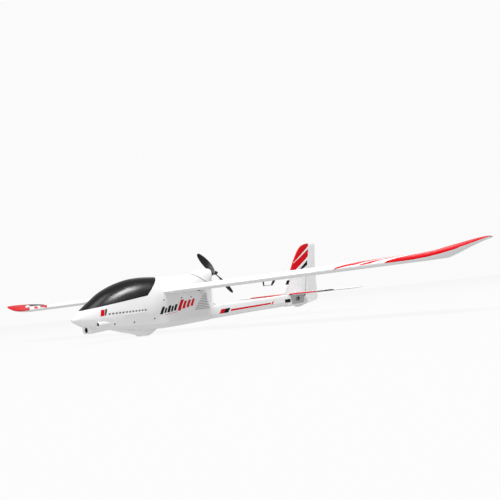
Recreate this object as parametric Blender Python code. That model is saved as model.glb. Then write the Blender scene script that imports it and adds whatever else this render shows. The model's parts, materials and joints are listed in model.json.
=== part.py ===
"""Foam pusher glider with a two metre wing, as an assembly of separate parts.

Axes: X to port, Y aft, Z up, metres. Y is 0 halfway along the model, X is 0 on its centre
plane, and Z is 0 at the flat of the belly skid. A "station" is a distance aft of the nose tip,
and a "height" is measured from the nose tip, so each outline reads like a side drawing.
"""
import math

import bmesh
import bpy
from mathutils import Matrix, Vector

# Overall
WING_SPAN = 2.000
OVERALL_LENGTH = 1.185
NOSE_HEIGHT = 0.068          # nose tip above the flat of the belly skid
GAP = 0.0004                 # kept between neighbouring parts

# Fuselage
SKIN = 0.0020                # wall of the moulded fuselage
COWL_SKIN = 0.0018
BOOM_START = 0.440
BOOM_END = 0.955
POD_END = 0.550
CHIN_FRONT = 0.044
CHIN_HALF_WIDTH = 0.0180
CHIN_DEPTH = 0.0415
CAMERA_BORE = 0.0075
CAMERA_HEIGHT = -0.0305
INTAKE_RADIUS = 0.0078
INTAKE_BORE = 0.0052

# Canopy opening: a sloping sill line and a sloping rear edge
SILL_START = (0.0310, 0.0255)
SILL_SLOPE = 0.1205
CANOPY_REAR_LOW = (0.2385, 0.0505)
CANOPY_REAR_TOP = (0.3065, 0.1070)

# Wing
WING_LE = 0.302              # root leading edge station
WING_ROOT_CHORD = 0.211
WING_SWEEP = 0.032           # leading edge moves aft per metre of half span
WING_TE_SWEEP = 0.008        # trailing edge moves aft per metre of half span
WING_HEIGHT = 0.0575         # height of the leading edge
WING_THICKNESS = 0.100       # share of the chord
WING_CAMBER = 0.024
WING_ROOT_X = 0.0500
TIP_LENGTH = 0.160           # the part of each half that curves up and in
TIP_START = WING_SPAN / 2 - TIP_LENGTH
TIP_RISE = 0.027
TIP_STATION = 0.357
TIP_TWIST = 0.060            # extra rise of the trailing edge around the tip's curve
AILERON_INNER = 0.260
AILERON_OUTER = TIP_START - 0.010
AILERON_HINGE = 0.740        # share of the chord
AILERON_LIMIT = 20.0
SPAR_RADIUS = 0.0040
SPAR_BORE = 0.0023
SPAR_CHORD = 0.30
SPAR_REACH = 0.28 * WING_SPAN
JOINER_RADIUS = 0.0025
JOINER_CHORD = 0.62
JOINER_REACH = 0.110
TUBE_GAP = 0.0004            # around the spar and the joiner rod
WING_SCREW_X = 0.0720
WING_SCREW_STATION = 0.4300

# Servos, shared by wing and tail
SERVO_LENGTH = 0.0228
SERVO_WIDTH = 0.0120
SERVO_DEPTH = 0.0220
SERVO_BOSS = 0.0020
SERVO_AXIS_OFFSET = 0.0058   # output axis to the near end of the case
ARM_THICKNESS = 0.0015
ROD_RADIUS = 0.0009
WING_SERVO_X = 0.312         # inner face of the servo case
WING_SERVO_AXIS = 0.4270
WING_HORN_HEIGHT = 0.0420    # rod height at the aileron horn

# Motor and propeller
MOTOR_HEIGHT = 0.1100
BELL_RADIUS = 0.0118
BELL_START = 0.5510
BELL_LENGTH = 0.0240
BELL_WALL = 0.0016
STATOR_BASE = 0.5425
SHAFT_RADIUS = 0.0016
PROP_RADIUS = 0.1030
PROP_HUB_RADIUS = 0.0070
PROP_HUB_LENGTH = 0.0080
PROP_CHORD = 0.0250
PROP_ADVANCE = 0.0300           # forward travel of the blades for each radian of turn
PROP_REST_ANGLE = 45.0
COWL_TOP = MOTOR_HEIGHT + BELL_RADIUS + 0.0032
COWL_SEAM_TOP = (0.4600, 0.1105)
COWL_SEAM_LOW = (0.5230, 0.0780)

# Tail
STAB_HALF_SPAN = 0.282
STAB_LE = 0.965
STAB_TE = 1.088
STAB_HEIGHT = 0.0110
STAB_THICKNESS = 0.0080
STAB_SWEEP = 0.070
ELEVATOR_HINGE = 1.055
ELEVATOR_INNER = 0.0125
ELEVATOR_OUTER = 0.250
ELEVATOR_LIMIT = 20.0
FIN_BASE = 0.0165
FIN_TOP = 0.2050
RUDDER_TOP_STATION = 1.1400  # hinge line at the fin's top
RUDDER_LOW_STATION = 1.0850  # hinge line at the fin's base
RUDDER_BOTTOM = -0.0280
RUDDER_LIMIT = 25.0
BLOCK_START = 0.9554
BLOCK_HALF_WIDTH = 0.0145
BLOCK_REAR_HALF_WIDTH = 0.0100
TENON_LENGTH = 0.024
ELEVATOR_SERVO_AXIS = 1.0200
ELEVATOR_SERVO_HEIGHT = -0.0095
ELEVATOR_ARM_LENGTH = 0.0095
RUDDER_SERVO_AXIS = 0.9828
RUDDER_SERVO_HEIGHT = -0.0050
RUDDER_ARM_LENGTH = 0.0120
RUDDER_EYE_GAP = 0.0028      # the raked hinge lifts and lowers the horn by this much
BOLT_RADIUS = 0.0013
BOLT_HEAD = 0.0026

HINGE_GAP = 0.0005
BEVEL_ANGLE = math.radians(32.0)

for old in list(bpy.data.objects):
    bpy.data.objects.remove(old, do_unlink=True)


# ---------------------------------------------------------------- shared tools
def at(x, station, height):
    """World place of a point given by its station and its height above the nose tip."""
    return Vector((x, station - OVERALL_LENGTH / 2, height + NOSE_HEIGHT))


def material(name, colour, roughness, metallic=0.0):
    finish = bpy.data.materials.new(name)
    finish.use_nodes = True
    shader = finish.node_tree.nodes["Principled BSDF"]
    shader.inputs["Base Color"].default_value = (*colour, 1.0)
    shader.inputs["Roughness"].default_value = roughness
    shader.inputs["Metallic"].default_value = metallic
    return finish


def solid(name, bm, finish=None, smooth=True):
    """Turn a bmesh into an object whose faces point out."""
    bmesh.ops.remove_doubles(bm, verts=bm.verts, dist=1e-6)
    bmesh.ops.recalc_face_normals(bm, faces=bm.faces)
    mesh = bpy.data.meshes.new(name)
    bm.to_mesh(mesh)
    bm.free()
    if smooth:
        mesh.shade_smooth()
        mesh.set_sharp_from_angle(angle=math.radians(35))
    made = bpy.data.objects.new(name, mesh)
    bpy.context.scene.collection.objects.link(made)
    if finish:
        mesh.materials.append(finish)
    return made


def loft(rings):
    """Closed solid through rings of points, each with the same count."""
    bm = bmesh.new()
    rows = [[bm.verts.new(point) for point in ring] for ring in rings]
    count = len(rows[0])
    for near, far in zip(rows, rows[1:]):
        for i in range(count):
            j = (i + 1) % count
            bm.faces.new((near[i], near[j], far[j], far[i]))
    bm.faces.new(rows[0])
    bm.faces.new(reversed(rows[-1]))
    return bm


def combine(target, tools, operation):
    """Apply Boolean steps and remove their tool objects."""
    for tool in tools:
        tool.hide_render = True
        tool.display_type = 'WIRE'
        step = target.modifiers.new(tool.name, 'BOOLEAN')
        step.operation = operation
        step.solver = 'EXACT'
        step.object = tool
    graph = bpy.context.evaluated_depsgraph_get()
    shaped = bpy.data.meshes.new_from_object(target.evaluated_get(graph))
    target.modifiers.clear()
    target.data = shaped
    for tool in tools:
        bpy.data.objects.remove(tool, do_unlink=True)
    return target


def box(name, low, high, finish=None, bevel=0.0):
    bm = bmesh.new()
    bmesh.ops.create_cube(bm, size=1.0)
    size = high - low
    bmesh.ops.scale(bm, vec=size, verts=bm.verts)
    bmesh.ops.translate(bm, vec=(low + high) / 2, verts=bm.verts)
    if bevel:
        bmesh.ops.bevel(bm, geom=bm.edges[:], offset=bevel, segments=2, profile=0.5,
                        affect='EDGES', clamp_overlap=True)
    return solid(name, bm, finish)


def turned(name, centre, axis, profile, finish=None, sides=20):
    """Turn (distance along the axis, radius) points around an axis through centre."""
    along = Vector(axis).normalized()
    across = along.orthogonal().normalized()
    other = along.cross(across)
    rings = []
    for distance, radius in profile:
        ring = []
        for i in range(sides):
            turn = 2 * math.pi * i / sides
            spoke = across * math.cos(turn) + other * math.sin(turn)
            ring.append(centre + along * distance + spoke * radius)
        rings.append(ring)
    return solid(name, loft(rings), finish)


def pivot(names, place):
    """Set the origin of each named part on its joint axis; the shapes stay where they are."""
    for name in names:
        part = bpy.data.objects[name]
        part.data.transform(Matrix.Translation(-place))
        part.location = place


def plate(name, outline, low_x, high_x, finish=None):
    """Plate cut from a (station, height) outline, between two X values."""
    rings = [[at(x, s, h) for s, h in outline] for x in (low_x, high_x)]
    return solid(name, loft(rings), finish)


def between(table, station):
    """Values of a table of rows at a station, straight between its rows."""
    for low, high in zip(table, table[1:]):
        if station <= high[0]:
            share = max(0.0, (station - low[0]) / (high[0] - low[0]))
            return [a + (b - a) * share for a, b in zip(low[1:], high[1:])]
    return list(table[-1][1:])


def curved(table, station):
    """Values of a table of rows at a station, along a smooth curve through its rows."""
    last = len(table) - 1
    for i in range(last):
        low, high = table[i], table[i + 1]
        if station <= high[0]:
            break
    span = high[0] - low[0]
    share = min(1.0, max(0.0, (station - low[0]) / span))
    values = []
    for column in range(1, len(low)):
        rise = (high[column] - low[column]) / span
        before = table[max(i - 1, 0)]
        after = table[min(i + 2, last)]
        start = (high[column] - before[column]) / (high[0] - before[0])
        end = (after[column] - low[column]) / (after[0] - low[0])
        if i == 0 or i >= last - 2:
            start = end = rise
        a = 2 * share ** 3 - 3 * share ** 2 + 1
        b = share ** 3 - 2 * share ** 2 + share
        c = -2 * share ** 3 + 3 * share ** 2
        d = share ** 3 - share ** 2
        values.append(a * low[column] + b * span * start + c * high[column] + d * span * end)
    return values


WHITE_SHELL = material("white_moulded_plastic", (0.86, 0.86, 0.87), 0.35)
WHITE_FOAM = material("white_foam", (0.88, 0.88, 0.88), 0.55)
TINTED = material("smoked_canopy", (0.02, 0.02, 0.022), 0.12)
BLACK = material("black_plastic", (0.015, 0.015, 0.016), 0.4)
DARK_BLUE = material("servo_case", (0.02, 0.03, 0.08), 0.35)
CARBON = material("carbon_tube", (0.03, 0.03, 0.035), 0.35)
STEEL = material("steel", (0.55, 0.55, 0.57), 0.3, 1.0)
ALLOY = material("alloy", (0.72, 0.73, 0.75), 0.28, 1.0)
COPPER = material("copper_winding", (0.6, 0.28, 0.12), 0.4, 1.0)
BATTERY_WRAP = material("battery_wrap", (0.05, 0.09, 0.2), 0.45)
PLYWOOD = material("plywood", (0.62, 0.46, 0.28), 0.7)
GLASS = material("lens_glass", (0.02, 0.02, 0.03), 0.05)


# ---------------------------------------------------------------- fuselage
# station, keel height and half width, lower chine, upper chine, top height
# and, where the pylon narrows, the shoulder and the waist between the two chines
POD = [
    (0.000, -0.0040, 0.0020, -0.0020, 0.0045, 0.0000, 0.0055, 0.0040),
    (0.006, -0.0070, 0.0042, -0.0040, 0.0085, 0.0002, 0.0105, 0.0090),
    (0.015, -0.0110, 0.0060, -0.0070, 0.0130, 0.0002, 0.0165, 0.0158),
    (0.030, -0.0182, 0.0090, -0.0122, 0.0200, -0.0002, 0.0250, 0.0272),
    (0.060, -0.0283, 0.0130, -0.0203, 0.0290, -0.0003, 0.0360, 0.0470),
    (0.100, -0.0349, 0.0170, -0.0259, 0.0360, 0.0001, 0.0440, 0.0720),
    (0.150, -0.0398, 0.0210, -0.0308, 0.0410, 0.0012, 0.0500, 0.0922),
    (0.200, -0.0457, 0.0230, -0.0337, 0.0430, 0.0033, 0.0530, 0.1040),
    (0.250, -0.0496, 0.0240, -0.0356, 0.0430, 0.0060, 0.0540, 0.1086),
    (0.300, -0.0516, 0.0240, -0.0356, 0.0415, -0.0180, 0.0435, 0.0030, 0.0465, 0.0240, 0.0520, 0.1084),
    (0.340, -0.0511, 0.0230, -0.0351, 0.0385, -0.0190, 0.0402, 0.0080, 0.0425, 0.0389, 0.0490, 0.1069),
    (0.400, -0.0494, 0.0210, -0.0344, 0.0340, -0.0200, 0.0350, 0.0120, 0.0362, 0.0446, 0.0445, 0.1061),
    (0.450, -0.0473, 0.0190, -0.0333, 0.0300, -0.0190, 0.0306, 0.0140, 0.0298, 0.0500, 0.0385, 0.1120),
    (0.500, -0.0453, 0.0170, -0.0323, 0.0255, -0.0150, 0.0252, 0.0180, 0.0220, 0.0640, 0.0272, COWL_TOP - 0.0033),
    (0.528, -0.0433, 0.0150, -0.0318, 0.0222, -0.0100, 0.0212, 0.0200, 0.0150, 0.0800, 0.0226, COWL_TOP),
    (0.543, -0.0418, 0.0135, -0.0310, 0.0200, -0.0040, 0.0176, 0.0220, 0.0098, 0.0930, 0.0208, COWL_TOP + 0.0006),
    (POD_END, 0.0825, 0.0080, 0.0870, 0.0140, 0.0920, 0.0176, 0.0970, 0.0194, 0.1030, 0.0205, COWL_TOP),
]


def with_waist(row):
    """Fill in the shoulder and waist of a plain section, on its straight side."""
    if len(row) > 8:
        return row
    station, keel, keel_w, low, low_w, chine, chine_w, top = row
    between_chines = []
    for share in (1 / 3, 2 / 3):
        between_chines += [low + (chine - low) * share, low_w + (chine_w - low_w) * share]
    return (station, keel, keel_w, low, low_w, *between_chines, chine, chine_w, top)


POD = [with_waist(row) for row in POD]
CROWN_STEPS = 8
POD_STEP = 0.0140


def pod_section(station, inset=0.0):
    """Ring of the pod: flat keel, two chines a side and a round crown."""
    keel, keel_w, low, low_w, shoulder, shoulder_w, waist, waist_w, chine, chine_w, top = curved(POD, station)
    keel += inset
    low += inset * 0.5
    top -= inset
    keel_w = max(0.001, keel_w - inset * 0.6)
    low_w -= inset
    shoulder_w -= inset
    waist_w -= inset
    chine_w -= inset
    half = [(keel_w, keel), (low_w, low), (shoulder_w, shoulder), (waist_w, waist)]
    for i in range(CROWN_STEPS + 1):
        turn = math.pi / 2 * i / CROWN_STEPS
        half.append((chine_w * math.cos(turn) ** 0.91, chine + (top - chine) * math.sin(turn) ** 0.91))
    half[-1] = (0.0, top)
    ring = [at(x, station, h) for x, h in half]
    ring += [at(-x, station, h) for x, h in reversed(half[:-1])]
    return ring


# station, bottom height, top height, half width of the boom
BOOM = [
    (BOOM_START, -0.0458, 0.0010, 0.0224),
    (0.560, -0.0420, 0.0028, 0.0205),
    (0.750, -0.0360, 0.0065, 0.0175),
    (0.980, -0.0305, 0.0125, 0.0155),
]


def boom_section(station, inset=0.0):
    """Ring of the boom: a rounded box with a narrower bottom."""
    bottom, top, wide = between(BOOM, station)
    top -= inset
    bottom += inset
    wide -= inset
    depth = top - bottom
    half = [(wide * 0.55, bottom), (wide * 0.86, bottom + depth * 0.10), (wide, bottom + depth * 0.34),
            (wide, bottom + depth * 0.66), (wide * 0.86, bottom + depth * 0.88), (wide * 0.5, bottom + depth * 0.98)]
    ring = [at(x, station, h) for x, h in half]
    ring += [at(-x, station, h) for x, h in reversed(half)]
    return ring


def pod_loft(name, first, last, inset=0.0):
    marks = [first] + [row[0] for row in POD if first + 0.001 < row[0] < last - 0.0005] + [last]
    stations = [first]
    for low, high in zip(marks, marks[1:]):
        steps = max(1, round((high - low) / POD_STEP))
        stations += [low + (high - low) * (i + 1) / steps for i in range(steps)]
    return solid(name, loft([pod_section(s, inset) for s in stations]))


def boom_loft(name, first, last, inset=0.0):
    stations = [first] + [row[0] for row in BOOM if first < row[0] < last] + [last]
    return solid(name, loft([boom_section(s, inset) for s in stations]))


def airfoil(share, thickness, camber):
    """Height of the camber line and half thickness at a share of the chord, both per chord."""
    x = min(max(share, 0.0), 1.0)
    half = 5 * thickness * (0.2969 * math.sqrt(x) - 0.1260 * x - 0.3516 * x ** 2
                            + 0.2843 * x ** 3 - 0.1036 * x ** 4)
    crest = 0.4
    if x < crest:
        line = camber / crest ** 2 * (2 * crest * x - x * x)
    else:
        line = camber / (1 - crest) ** 2 * (1 - 2 * crest + 2 * crest * x - x * x)
    return line, half


EDGE = 0.0006                # half thickness of every trailing edge


def airfoil_ring(leading, trailing, thickness, camber, place, steps=11):
    """Closed ring around a section; place() takes a station and a height off the chord."""
    chord = trailing - leading
    shares = [(1 - math.cos(math.pi * i / steps)) / 2 for i in range(steps + 1)]
    upper, lower = [], []
    for share in shares:
        line, half = airfoil(share, thickness, camber)
        half = half * chord + EDGE * share
        upper.append(place(leading + share * chord, line * chord + half))
        lower.append(place(leading + share * chord, line * chord - half))
    return upper[:1] + lower[1:] + list(reversed(upper[1:]))


def wing_plan(x):
    """Leading edge, trailing edge and height of the chord at a distance from the centre."""
    inner = min(x, TIP_START)
    leading = WING_LE + WING_SWEEP * inner
    trailing = WING_LE + WING_ROOT_CHORD + WING_TE_SWEEP * inner
    height = WING_HEIGHT
    if x > TIP_START:
        share = (x - TIP_START) / TIP_LENGTH
        left = max(0.06, math.sqrt(max(0.0, 1 - share ** 1.35)))
        leading = TIP_STATION - (TIP_STATION - leading) * left
        trailing = TIP_STATION + (trailing - TIP_STATION) * left
        height += TIP_RISE * share ** 1.8
    return leading, trailing, height


def wing_ring(x, side):
    leading, trailing, height = wing_plan(abs(x))
    share = max(0.0, (abs(x) - TIP_START) / TIP_LENGTH)
    twist = TIP_TWIST * share ** 1.2 / (trailing - leading)
    return airfoil_ring(leading, trailing, WING_THICKNESS, WING_CAMBER,
                        lambda s, h: at(side * x, s, height + h + twist * (s - leading) * (1 - share)))


def wing_point(x, share):
    """Station, mid height and half thickness of the wing at a share of its chord."""
    leading, trailing, height = wing_plan(x)
    chord = trailing - leading
    line, half = airfoil(share, WING_THICKNESS, WING_CAMBER)
    return leading + share * chord, height + line * chord, half * chord + EDGE * share


def cowl_wedge(name, offset):
    """Space above the sloping cowl seam and above the level line at the foot of the cowl."""
    top = Vector(COWL_SEAM_TOP)
    along = (Vector(COWL_SEAM_LOW) - top).normalized()
    normal = Vector((-along.y, along.x))
    start = top - along * 0.15 + normal * offset
    floor = COWL_SEAM_LOW[1] + offset
    corner = start + along * ((floor - start.y) / along.y)
    outline = [start, corner, Vector((0.66, floor)), Vector((0.66, start.y + 0.05)), Vector((start.x, start.y + 0.05))]
    return plate(name, [(p.x, p.y) for p in outline], -0.15, 0.15)


def sill_line():
    start = Vector(SILL_START)
    direction = Vector((1.0, SILL_SLOPE)).normalized()
    return start, direction, Vector((-direction.y, direction.x))


def canopy_wedge(name, shrink):
    """Space above the sill line and ahead of the canopy's rear edge."""
    start, along, up = sill_line()
    rear_low = Vector(CANOPY_REAR_LOW)
    rear_along = (Vector(CANOPY_REAR_TOP) - rear_low).normalized()
    forward = Vector((-rear_along.y, rear_along.x))
    front = start - along * 0.10 + up * shrink
    # corner where the shrunk sill line meets the shrunk rear line
    a = start + up * shrink
    b = rear_low + forward * shrink
    cross = along.x * rear_along.y - along.y * rear_along.x
    t = ((b.x - a.x) * rear_along.y - (b.y - a.y) * rear_along.x) / cross
    corner = a + along * t
    top = corner + rear_along * 0.25
    outline = [front, corner, top, Vector((front.x, top.y))]
    return plate(name, [(p.x, p.y) for p in outline], -0.15, 0.15)


# station, lowest height and half width of the belly skid's flat
BELLY = [
    (0.137, -0.0403, 0.0060),
    (0.166, -0.0484, 0.0080),
    (0.195, -0.0545, 0.0095),
    (0.225, -0.0637, 0.0105),
    (0.235, -NOSE_HEIGHT - 0.0006, 0.0130),
    (0.265, -NOSE_HEIGHT - 0.0006, 0.0130),
    (0.290, -0.0552, 0.0100),
    (0.308, -0.0480, 0.0080),
]


def make_fuselage():
    body = pod_loft("fuselage", 0.0, POD_END)
    boom = boom_loft("boom_outside", BOOM_START, BOOM_END)
    gusset = plate("gusset", [(0.520, -0.010), (0.520, 0.060), (0.5465, 0.060), (0.5480, 0.030), (0.5520, 0.017),
                              (0.5600, 0.0080), (0.5720, 0.0035), (0.5880, 0.0024), (0.5880, -0.010)], -0.0075, 0.0075)
    stub = solid("stub", loft([wing_ring(WING_ROOT_X, side) for side in (-1, 1)]))
    chin = solid("chin", loft([
        [at(x * CHIN_HALF_WIDTH * w, CHIN_FRONT + back, h) for x, w, h in
         ((1, 1.0, -0.012), (1, 1.0, -depth * 0.75), (1, 0.75, -depth), (-1, 0.75, -depth),
          (-1, 1.0, -depth * 0.75), (-1, 1.0, -0.012))]
        for back, depth in ((0.0, CHIN_DEPTH - 0.001), (0.008, CHIN_DEPTH), (0.064, 0.0370), (0.085, 0.0300))]))
    marks = [BELLY[0][0] + (BELLY[-1][0] - BELLY[0][0]) * i / 14 for i in range(15)]
    rings = []
    for station in marks:
        low, wide = curved(BELLY, station)
        low = max(low, -NOSE_HEIGHT - 0.0006)
        half = [(wide * 0.55, low), (wide, low + 0.0012), (wide + 0.0045, low + 0.0055), (wide + 0.0065, -0.030)]
        rings.append([at(x, station, h) for x, h in half] + [at(-x, station, h) for x, h in reversed(half)])
    bump = solid("bump", loft(rings))
    intakes = [turned("intake", at(side * 0.0350, 0.0600, -0.0180), (0, 1, 0),
                      [(0.0, INTAKE_RADIUS * 0.9), (0.0015, INTAKE_RADIUS), (0.020, INTAKE_RADIUS * 0.92),
                       (0.052, 0.0020)], sides=16) for side in (-1, 1)]
    combine(body, [boom, gusset, stub, chin, bump] + intakes, 'UNION')

    floor = box("floor", at(-0.1, 0.0, -NOSE_HEIGHT - 0.05), at(0.1, 0.9, -NOSE_HEIGHT))
    cabin = pod_loft("cabin_space", 0.034, 0.512, SKIN)
    boom_space = boom_loft("boom_space", BOOM_START - 0.03, BOOM_END + 0.02, SKIN)
    wedge = canopy_wedge("canopy_space", 0.0)
    seam = cowl_wedge("cowl_space", 0.0)
    camera_bore = turned("camera_bore", at(0, CHIN_FRONT - 0.02, CAMERA_HEIGHT), (0, 1, 0),
                         [(0.0, CAMERA_BORE), (0.055, CAMERA_BORE)])
    bores = [turned("intake_bore", at(side * 0.0350, 0.050, -0.0180), (0, 1, 0),
                    [(0.0, INTAKE_BORE), (0.030, INTAKE_BORE)], sides=16) for side in (-1, 1)]
    spar_station, spar_height, _ = wing_point(WING_ROOT_X, SPAR_CHORD)
    joiner_station, joiner_height, _ = wing_point(WING_ROOT_X, JOINER_CHORD)
    spar_hole = turned("spar_hole", at(-0.1, spar_station, spar_height), (1, 0, 0),
                       [(0.0, SPAR_RADIUS + TUBE_GAP), (0.2, SPAR_RADIUS + TUBE_GAP)])
    joiner_hole = turned("joiner_hole", at(-0.1, joiner_station, joiner_height), (1, 0, 0),
                         [(0.0, JOINER_RADIUS + TUBE_GAP), (0.2, JOINER_RADIUS + TUBE_GAP)])
    combine(body, [floor, cabin, boom_space, wedge, seam, camera_bore, spar_hole, joiner_hole] + bores,
            'DIFFERENCE')
    body.data.materials.clear()
    body.data.materials.append(WHITE_SHELL)
    return body


def make_canopy():
    shell = pod_loft("canopy", 0.0, 0.40)
    inside = pod_loft("canopy_inside", 0.030, 0.42, SKIN)
    combine(shell, [canopy_wedge("canopy_keep", GAP)], 'INTERSECT')
    combine(shell, [inside], 'DIFFERENCE')
    shell.data.materials.clear()
    shell.data.materials.append(TINTED)
    return shell


def make_cowl():
    shell = pod_loft("motor_cowl", 0.40, POD_END)
    combine(shell, [cowl_wedge("cowl_keep", GAP)], 'INTERSECT')
    inside = pod_loft("cowl_inside", 0.42, POD_END - COWL_SKIN, COWL_SKIN)
    hole = turned("motor_hole", at(0, 0.54, MOTOR_HEIGHT), (0, 1, 0),
                  [(0.0, BELL_RADIUS + 0.0016), (0.04, BELL_RADIUS + 0.0016)], sides=28)
    combine(shell, [inside, hole], 'DIFFERENCE')
    shell.data.materials.clear()
    shell.data.materials.append(WHITE_SHELL)
    return shell


fuselage = make_fuselage()
canopy = make_canopy()
motor_cowl = make_cowl()

# ---------------------------------------------------------------- equipment bay
TRAY_TOP = -0.0205
box("equipment_tray", at(-0.029, 0.078, TRAY_TOP - 0.0020), at(0.029, 0.362, TRAY_TOP), PLYWOOD)
box("battery", at(-0.021, 0.100, TRAY_TOP + GAP), at(0.021, 0.235, TRAY_TOP + 0.028), BATTERY_WRAP, bevel=0.002)
box("speed_controller", at(-0.014, 0.245, TRAY_TOP + GAP), at(0.014, 0.296, TRAY_TOP + 0.011), BLACK, bevel=0.001)
box("receiver", at(-0.012, 0.308, TRAY_TOP + GAP), at(0.012, 0.354, TRAY_TOP + 0.014), BLACK, bevel=0.001)

CAMERA_RADIUS = CAMERA_BORE - GAP
camera = turned("fpv_camera", at(0, CHIN_FRONT + 0.002, CAMERA_HEIGHT), (0, 1, 0),
                [(0.0, CAMERA_RADIUS - 0.0005), (0.0005, CAMERA_RADIUS), (0.024, CAMERA_RADIUS)], BLACK)
combine(camera, [turned("lens_seat", at(0, CHIN_FRONT, CAMERA_HEIGHT), (0, 1, 0),
                        [(0.0, 0.0056), (0.0050, 0.0050)])], 'DIFFERENCE')
turned("camera_lens", at(0, CHIN_FRONT, CAMERA_HEIGHT), (0, 1, 0),
       [(0.0030, 0.0012), (0.0034, 0.0030), (0.0042, 0.0044), (0.0046, 0.0044)], GLASS)

# ---------------------------------------------------------------- motor and propeller
MOTOR_AXIS = (0, 1, 0)


def make_motor_mount():
    post = turned("motor_mount", at(0, 0.500, MOTOR_HEIGHT), MOTOR_AXIS,
                  [(0.0, 0.0092), (STATOR_BASE - GAP - 0.500, 0.0092)], ALLOY)
    foot = box("mount_foot", at(-0.0082, 0.503, 0.060), at(0.0082, 0.5380, MOTOR_HEIGHT))
    combine(post, [foot], 'UNION')
    combine(post, [cowl_wedge("mount_keep", GAP)], 'INTERSECT')
    combine(post, [pod_loft("mount_limit", 0.42, POD_END - COWL_SKIN - GAP, COWL_SKIN + GAP)], 'INTERSECT')
    post.data.materials.clear()
    post.data.materials.append(ALLOY)
    return post


make_motor_mount()
CORE_RADIUS = BELL_RADIUS - BELL_WALL - 0.0009
stator = turned("motor_stator", at(0, STATOR_BASE, MOTOR_HEIGHT), MOTOR_AXIS,
                [(0.0, 0.0098), (0.0020, 0.0108), (0.0068, 0.0108), (0.0074, CORE_RADIUS),
                 (BELL_START - STATOR_BASE + BELL_LENGTH - 0.0060, CORE_RADIUS)], COPPER)
combine(stator, [turned("stator_bore", at(0, STATOR_BASE - 0.01, MOTOR_HEIGHT), MOTOR_AXIS,
                        [(0.0, SHAFT_RADIUS + 0.0008), (0.08, SHAFT_RADIUS + 0.0008)])], 'DIFFERENCE')
stator.data.materials.clear()
stator.data.materials.append(COPPER)

bell_end = BELL_START + BELL_LENGTH
bell = turned("motor_bell", at(0, BELL_START, MOTOR_HEIGHT), MOTOR_AXIS,
              [(0.0, BELL_RADIUS), (BELL_LENGTH - 0.0030, BELL_RADIUS), (BELL_LENGTH, BELL_RADIUS * 0.72)],
              ALLOY, sides=28)
combine(bell, [turned("bell_inside", at(0, BELL_START - 0.01, MOTOR_HEIGHT), MOTOR_AXIS,
                      [(0.0, BELL_RADIUS - BELL_WALL), (0.01 + BELL_LENGTH - 0.0045, BELL_RADIUS - BELL_WALL)],
                      sides=28),
               turned("bell_bore", at(0, BELL_START, MOTOR_HEIGHT), MOTOR_AXIS,
                      [(0.0, SHAFT_RADIUS + GAP), (0.05, SHAFT_RADIUS + GAP)])], 'DIFFERENCE')
bell.data.materials.clear()
bell.data.materials.append(ALLOY)

ADAPTER_START = bell_end + GAP
HUB_START = ADAPTER_START + 0.0070 + GAP
HUB_END = HUB_START + PROP_HUB_LENGTH
WASHER_END = HUB_END + GAP + 0.0012
NUT_START = WASHER_END + GAP
NUT_LENGTH = 0.0050
STUD_RADIUS = 0.0025
turned("motor_shaft", at(0, STATOR_BASE + 0.0010, MOTOR_HEIGHT), MOTOR_AXIS,
       [(0.0, SHAFT_RADIUS), (ADAPTER_START + 0.0055 - STATOR_BASE - 0.0010, SHAFT_RADIUS)], STEEL, sides=14)
adapter = turned("prop_adapter", at(0, ADAPTER_START, MOTOR_HEIGHT), MOTOR_AXIS,
                 [(0.0, 0.0048), (0.0055, 0.0052), (0.0070, 0.0060), (0.00701, STUD_RADIUS),
                  (NUT_START + NUT_LENGTH + 0.0010 - ADAPTER_START, STUD_RADIUS)], ALLOY)
combine(adapter, [turned("adapter_bore", at(0, ADAPTER_START - 0.002, MOTOR_HEIGHT), MOTOR_AXIS,
                         [(0.0, SHAFT_RADIUS + GAP), (0.0080, SHAFT_RADIUS + GAP)], sides=14)], 'DIFFERENCE')
adapter.data.materials.clear()
adapter.data.materials.append(ALLOY)


def blade_rings(turn):
    """Rings of one blade from the hub out, thick at the root, thin and curved to the tip."""
    rings = []
    middle = HUB_START + PROP_HUB_LENGTH / 2
    for share in (0.03, 0.075, 0.12, 0.18, 0.30, 0.42, 0.56, 0.70, 0.82, 0.91, 0.97, 1.0):
        radius = PROP_RADIUS * share
        grow = min(1.0, 0.48 + 1.55 * share)
        fall = math.sqrt(max(0.03, 1 - max(0.0, (share - 0.40) / 0.62) ** 2.2))
        chord = PROP_CHORD * grow * fall
        thick = 0.0042 - 0.0032 * min(1.0, share * 1.5)
        pitch = -math.atan2(PROP_ADVANCE, max(radius, 0.012))
        if radius < PROP_HUB_RADIUS + 0.001:
            chord = min(chord, (PROP_HUB_LENGTH - thick - 0.0010) / math.sin(-pitch))
        ring = []
        for i in range(10):
            angle = 2 * math.pi * i / 10
            along_chord = math.cos(angle) * chord / 2
            off = math.sin(angle) * thick / 2
            sideways = along_chord * math.cos(pitch) - off * math.sin(pitch)
            aft = along_chord * math.sin(pitch) + off * math.cos(pitch)
            x = radius * math.cos(turn) - sideways * math.sin(turn)
            h = radius * math.sin(turn) + sideways * math.cos(turn)
            ring.append(at(x, middle + aft, MOTOR_HEIGHT + h))
        rings.append(ring)
    return rings


propeller = turned("propeller", at(0, HUB_START, MOTOR_HEIGHT), MOTOR_AXIS,
                   [(0.0, PROP_HUB_RADIUS - 0.0006), (0.0008, PROP_HUB_RADIUS),
                    (PROP_HUB_LENGTH - 0.0008, PROP_HUB_RADIUS), (PROP_HUB_LENGTH, PROP_HUB_RADIUS - 0.0006)], BLACK)
rest_turn = math.radians(-PROP_REST_ANGLE)
combine(propeller, [solid("blade", loft(blade_rings(rest_turn + half_turn))) for half_turn in (0.0, math.pi)], 'UNION')
combine(propeller, [turned("prop_bore", at(0, HUB_START - 0.01, MOTOR_HEIGHT), MOTOR_AXIS,
                           [(0.0, STUD_RADIUS + GAP), (0.03, STUD_RADIUS + GAP)])], 'DIFFERENCE')
propeller.data.materials.clear()
propeller.data.materials.append(BLACK)

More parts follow.
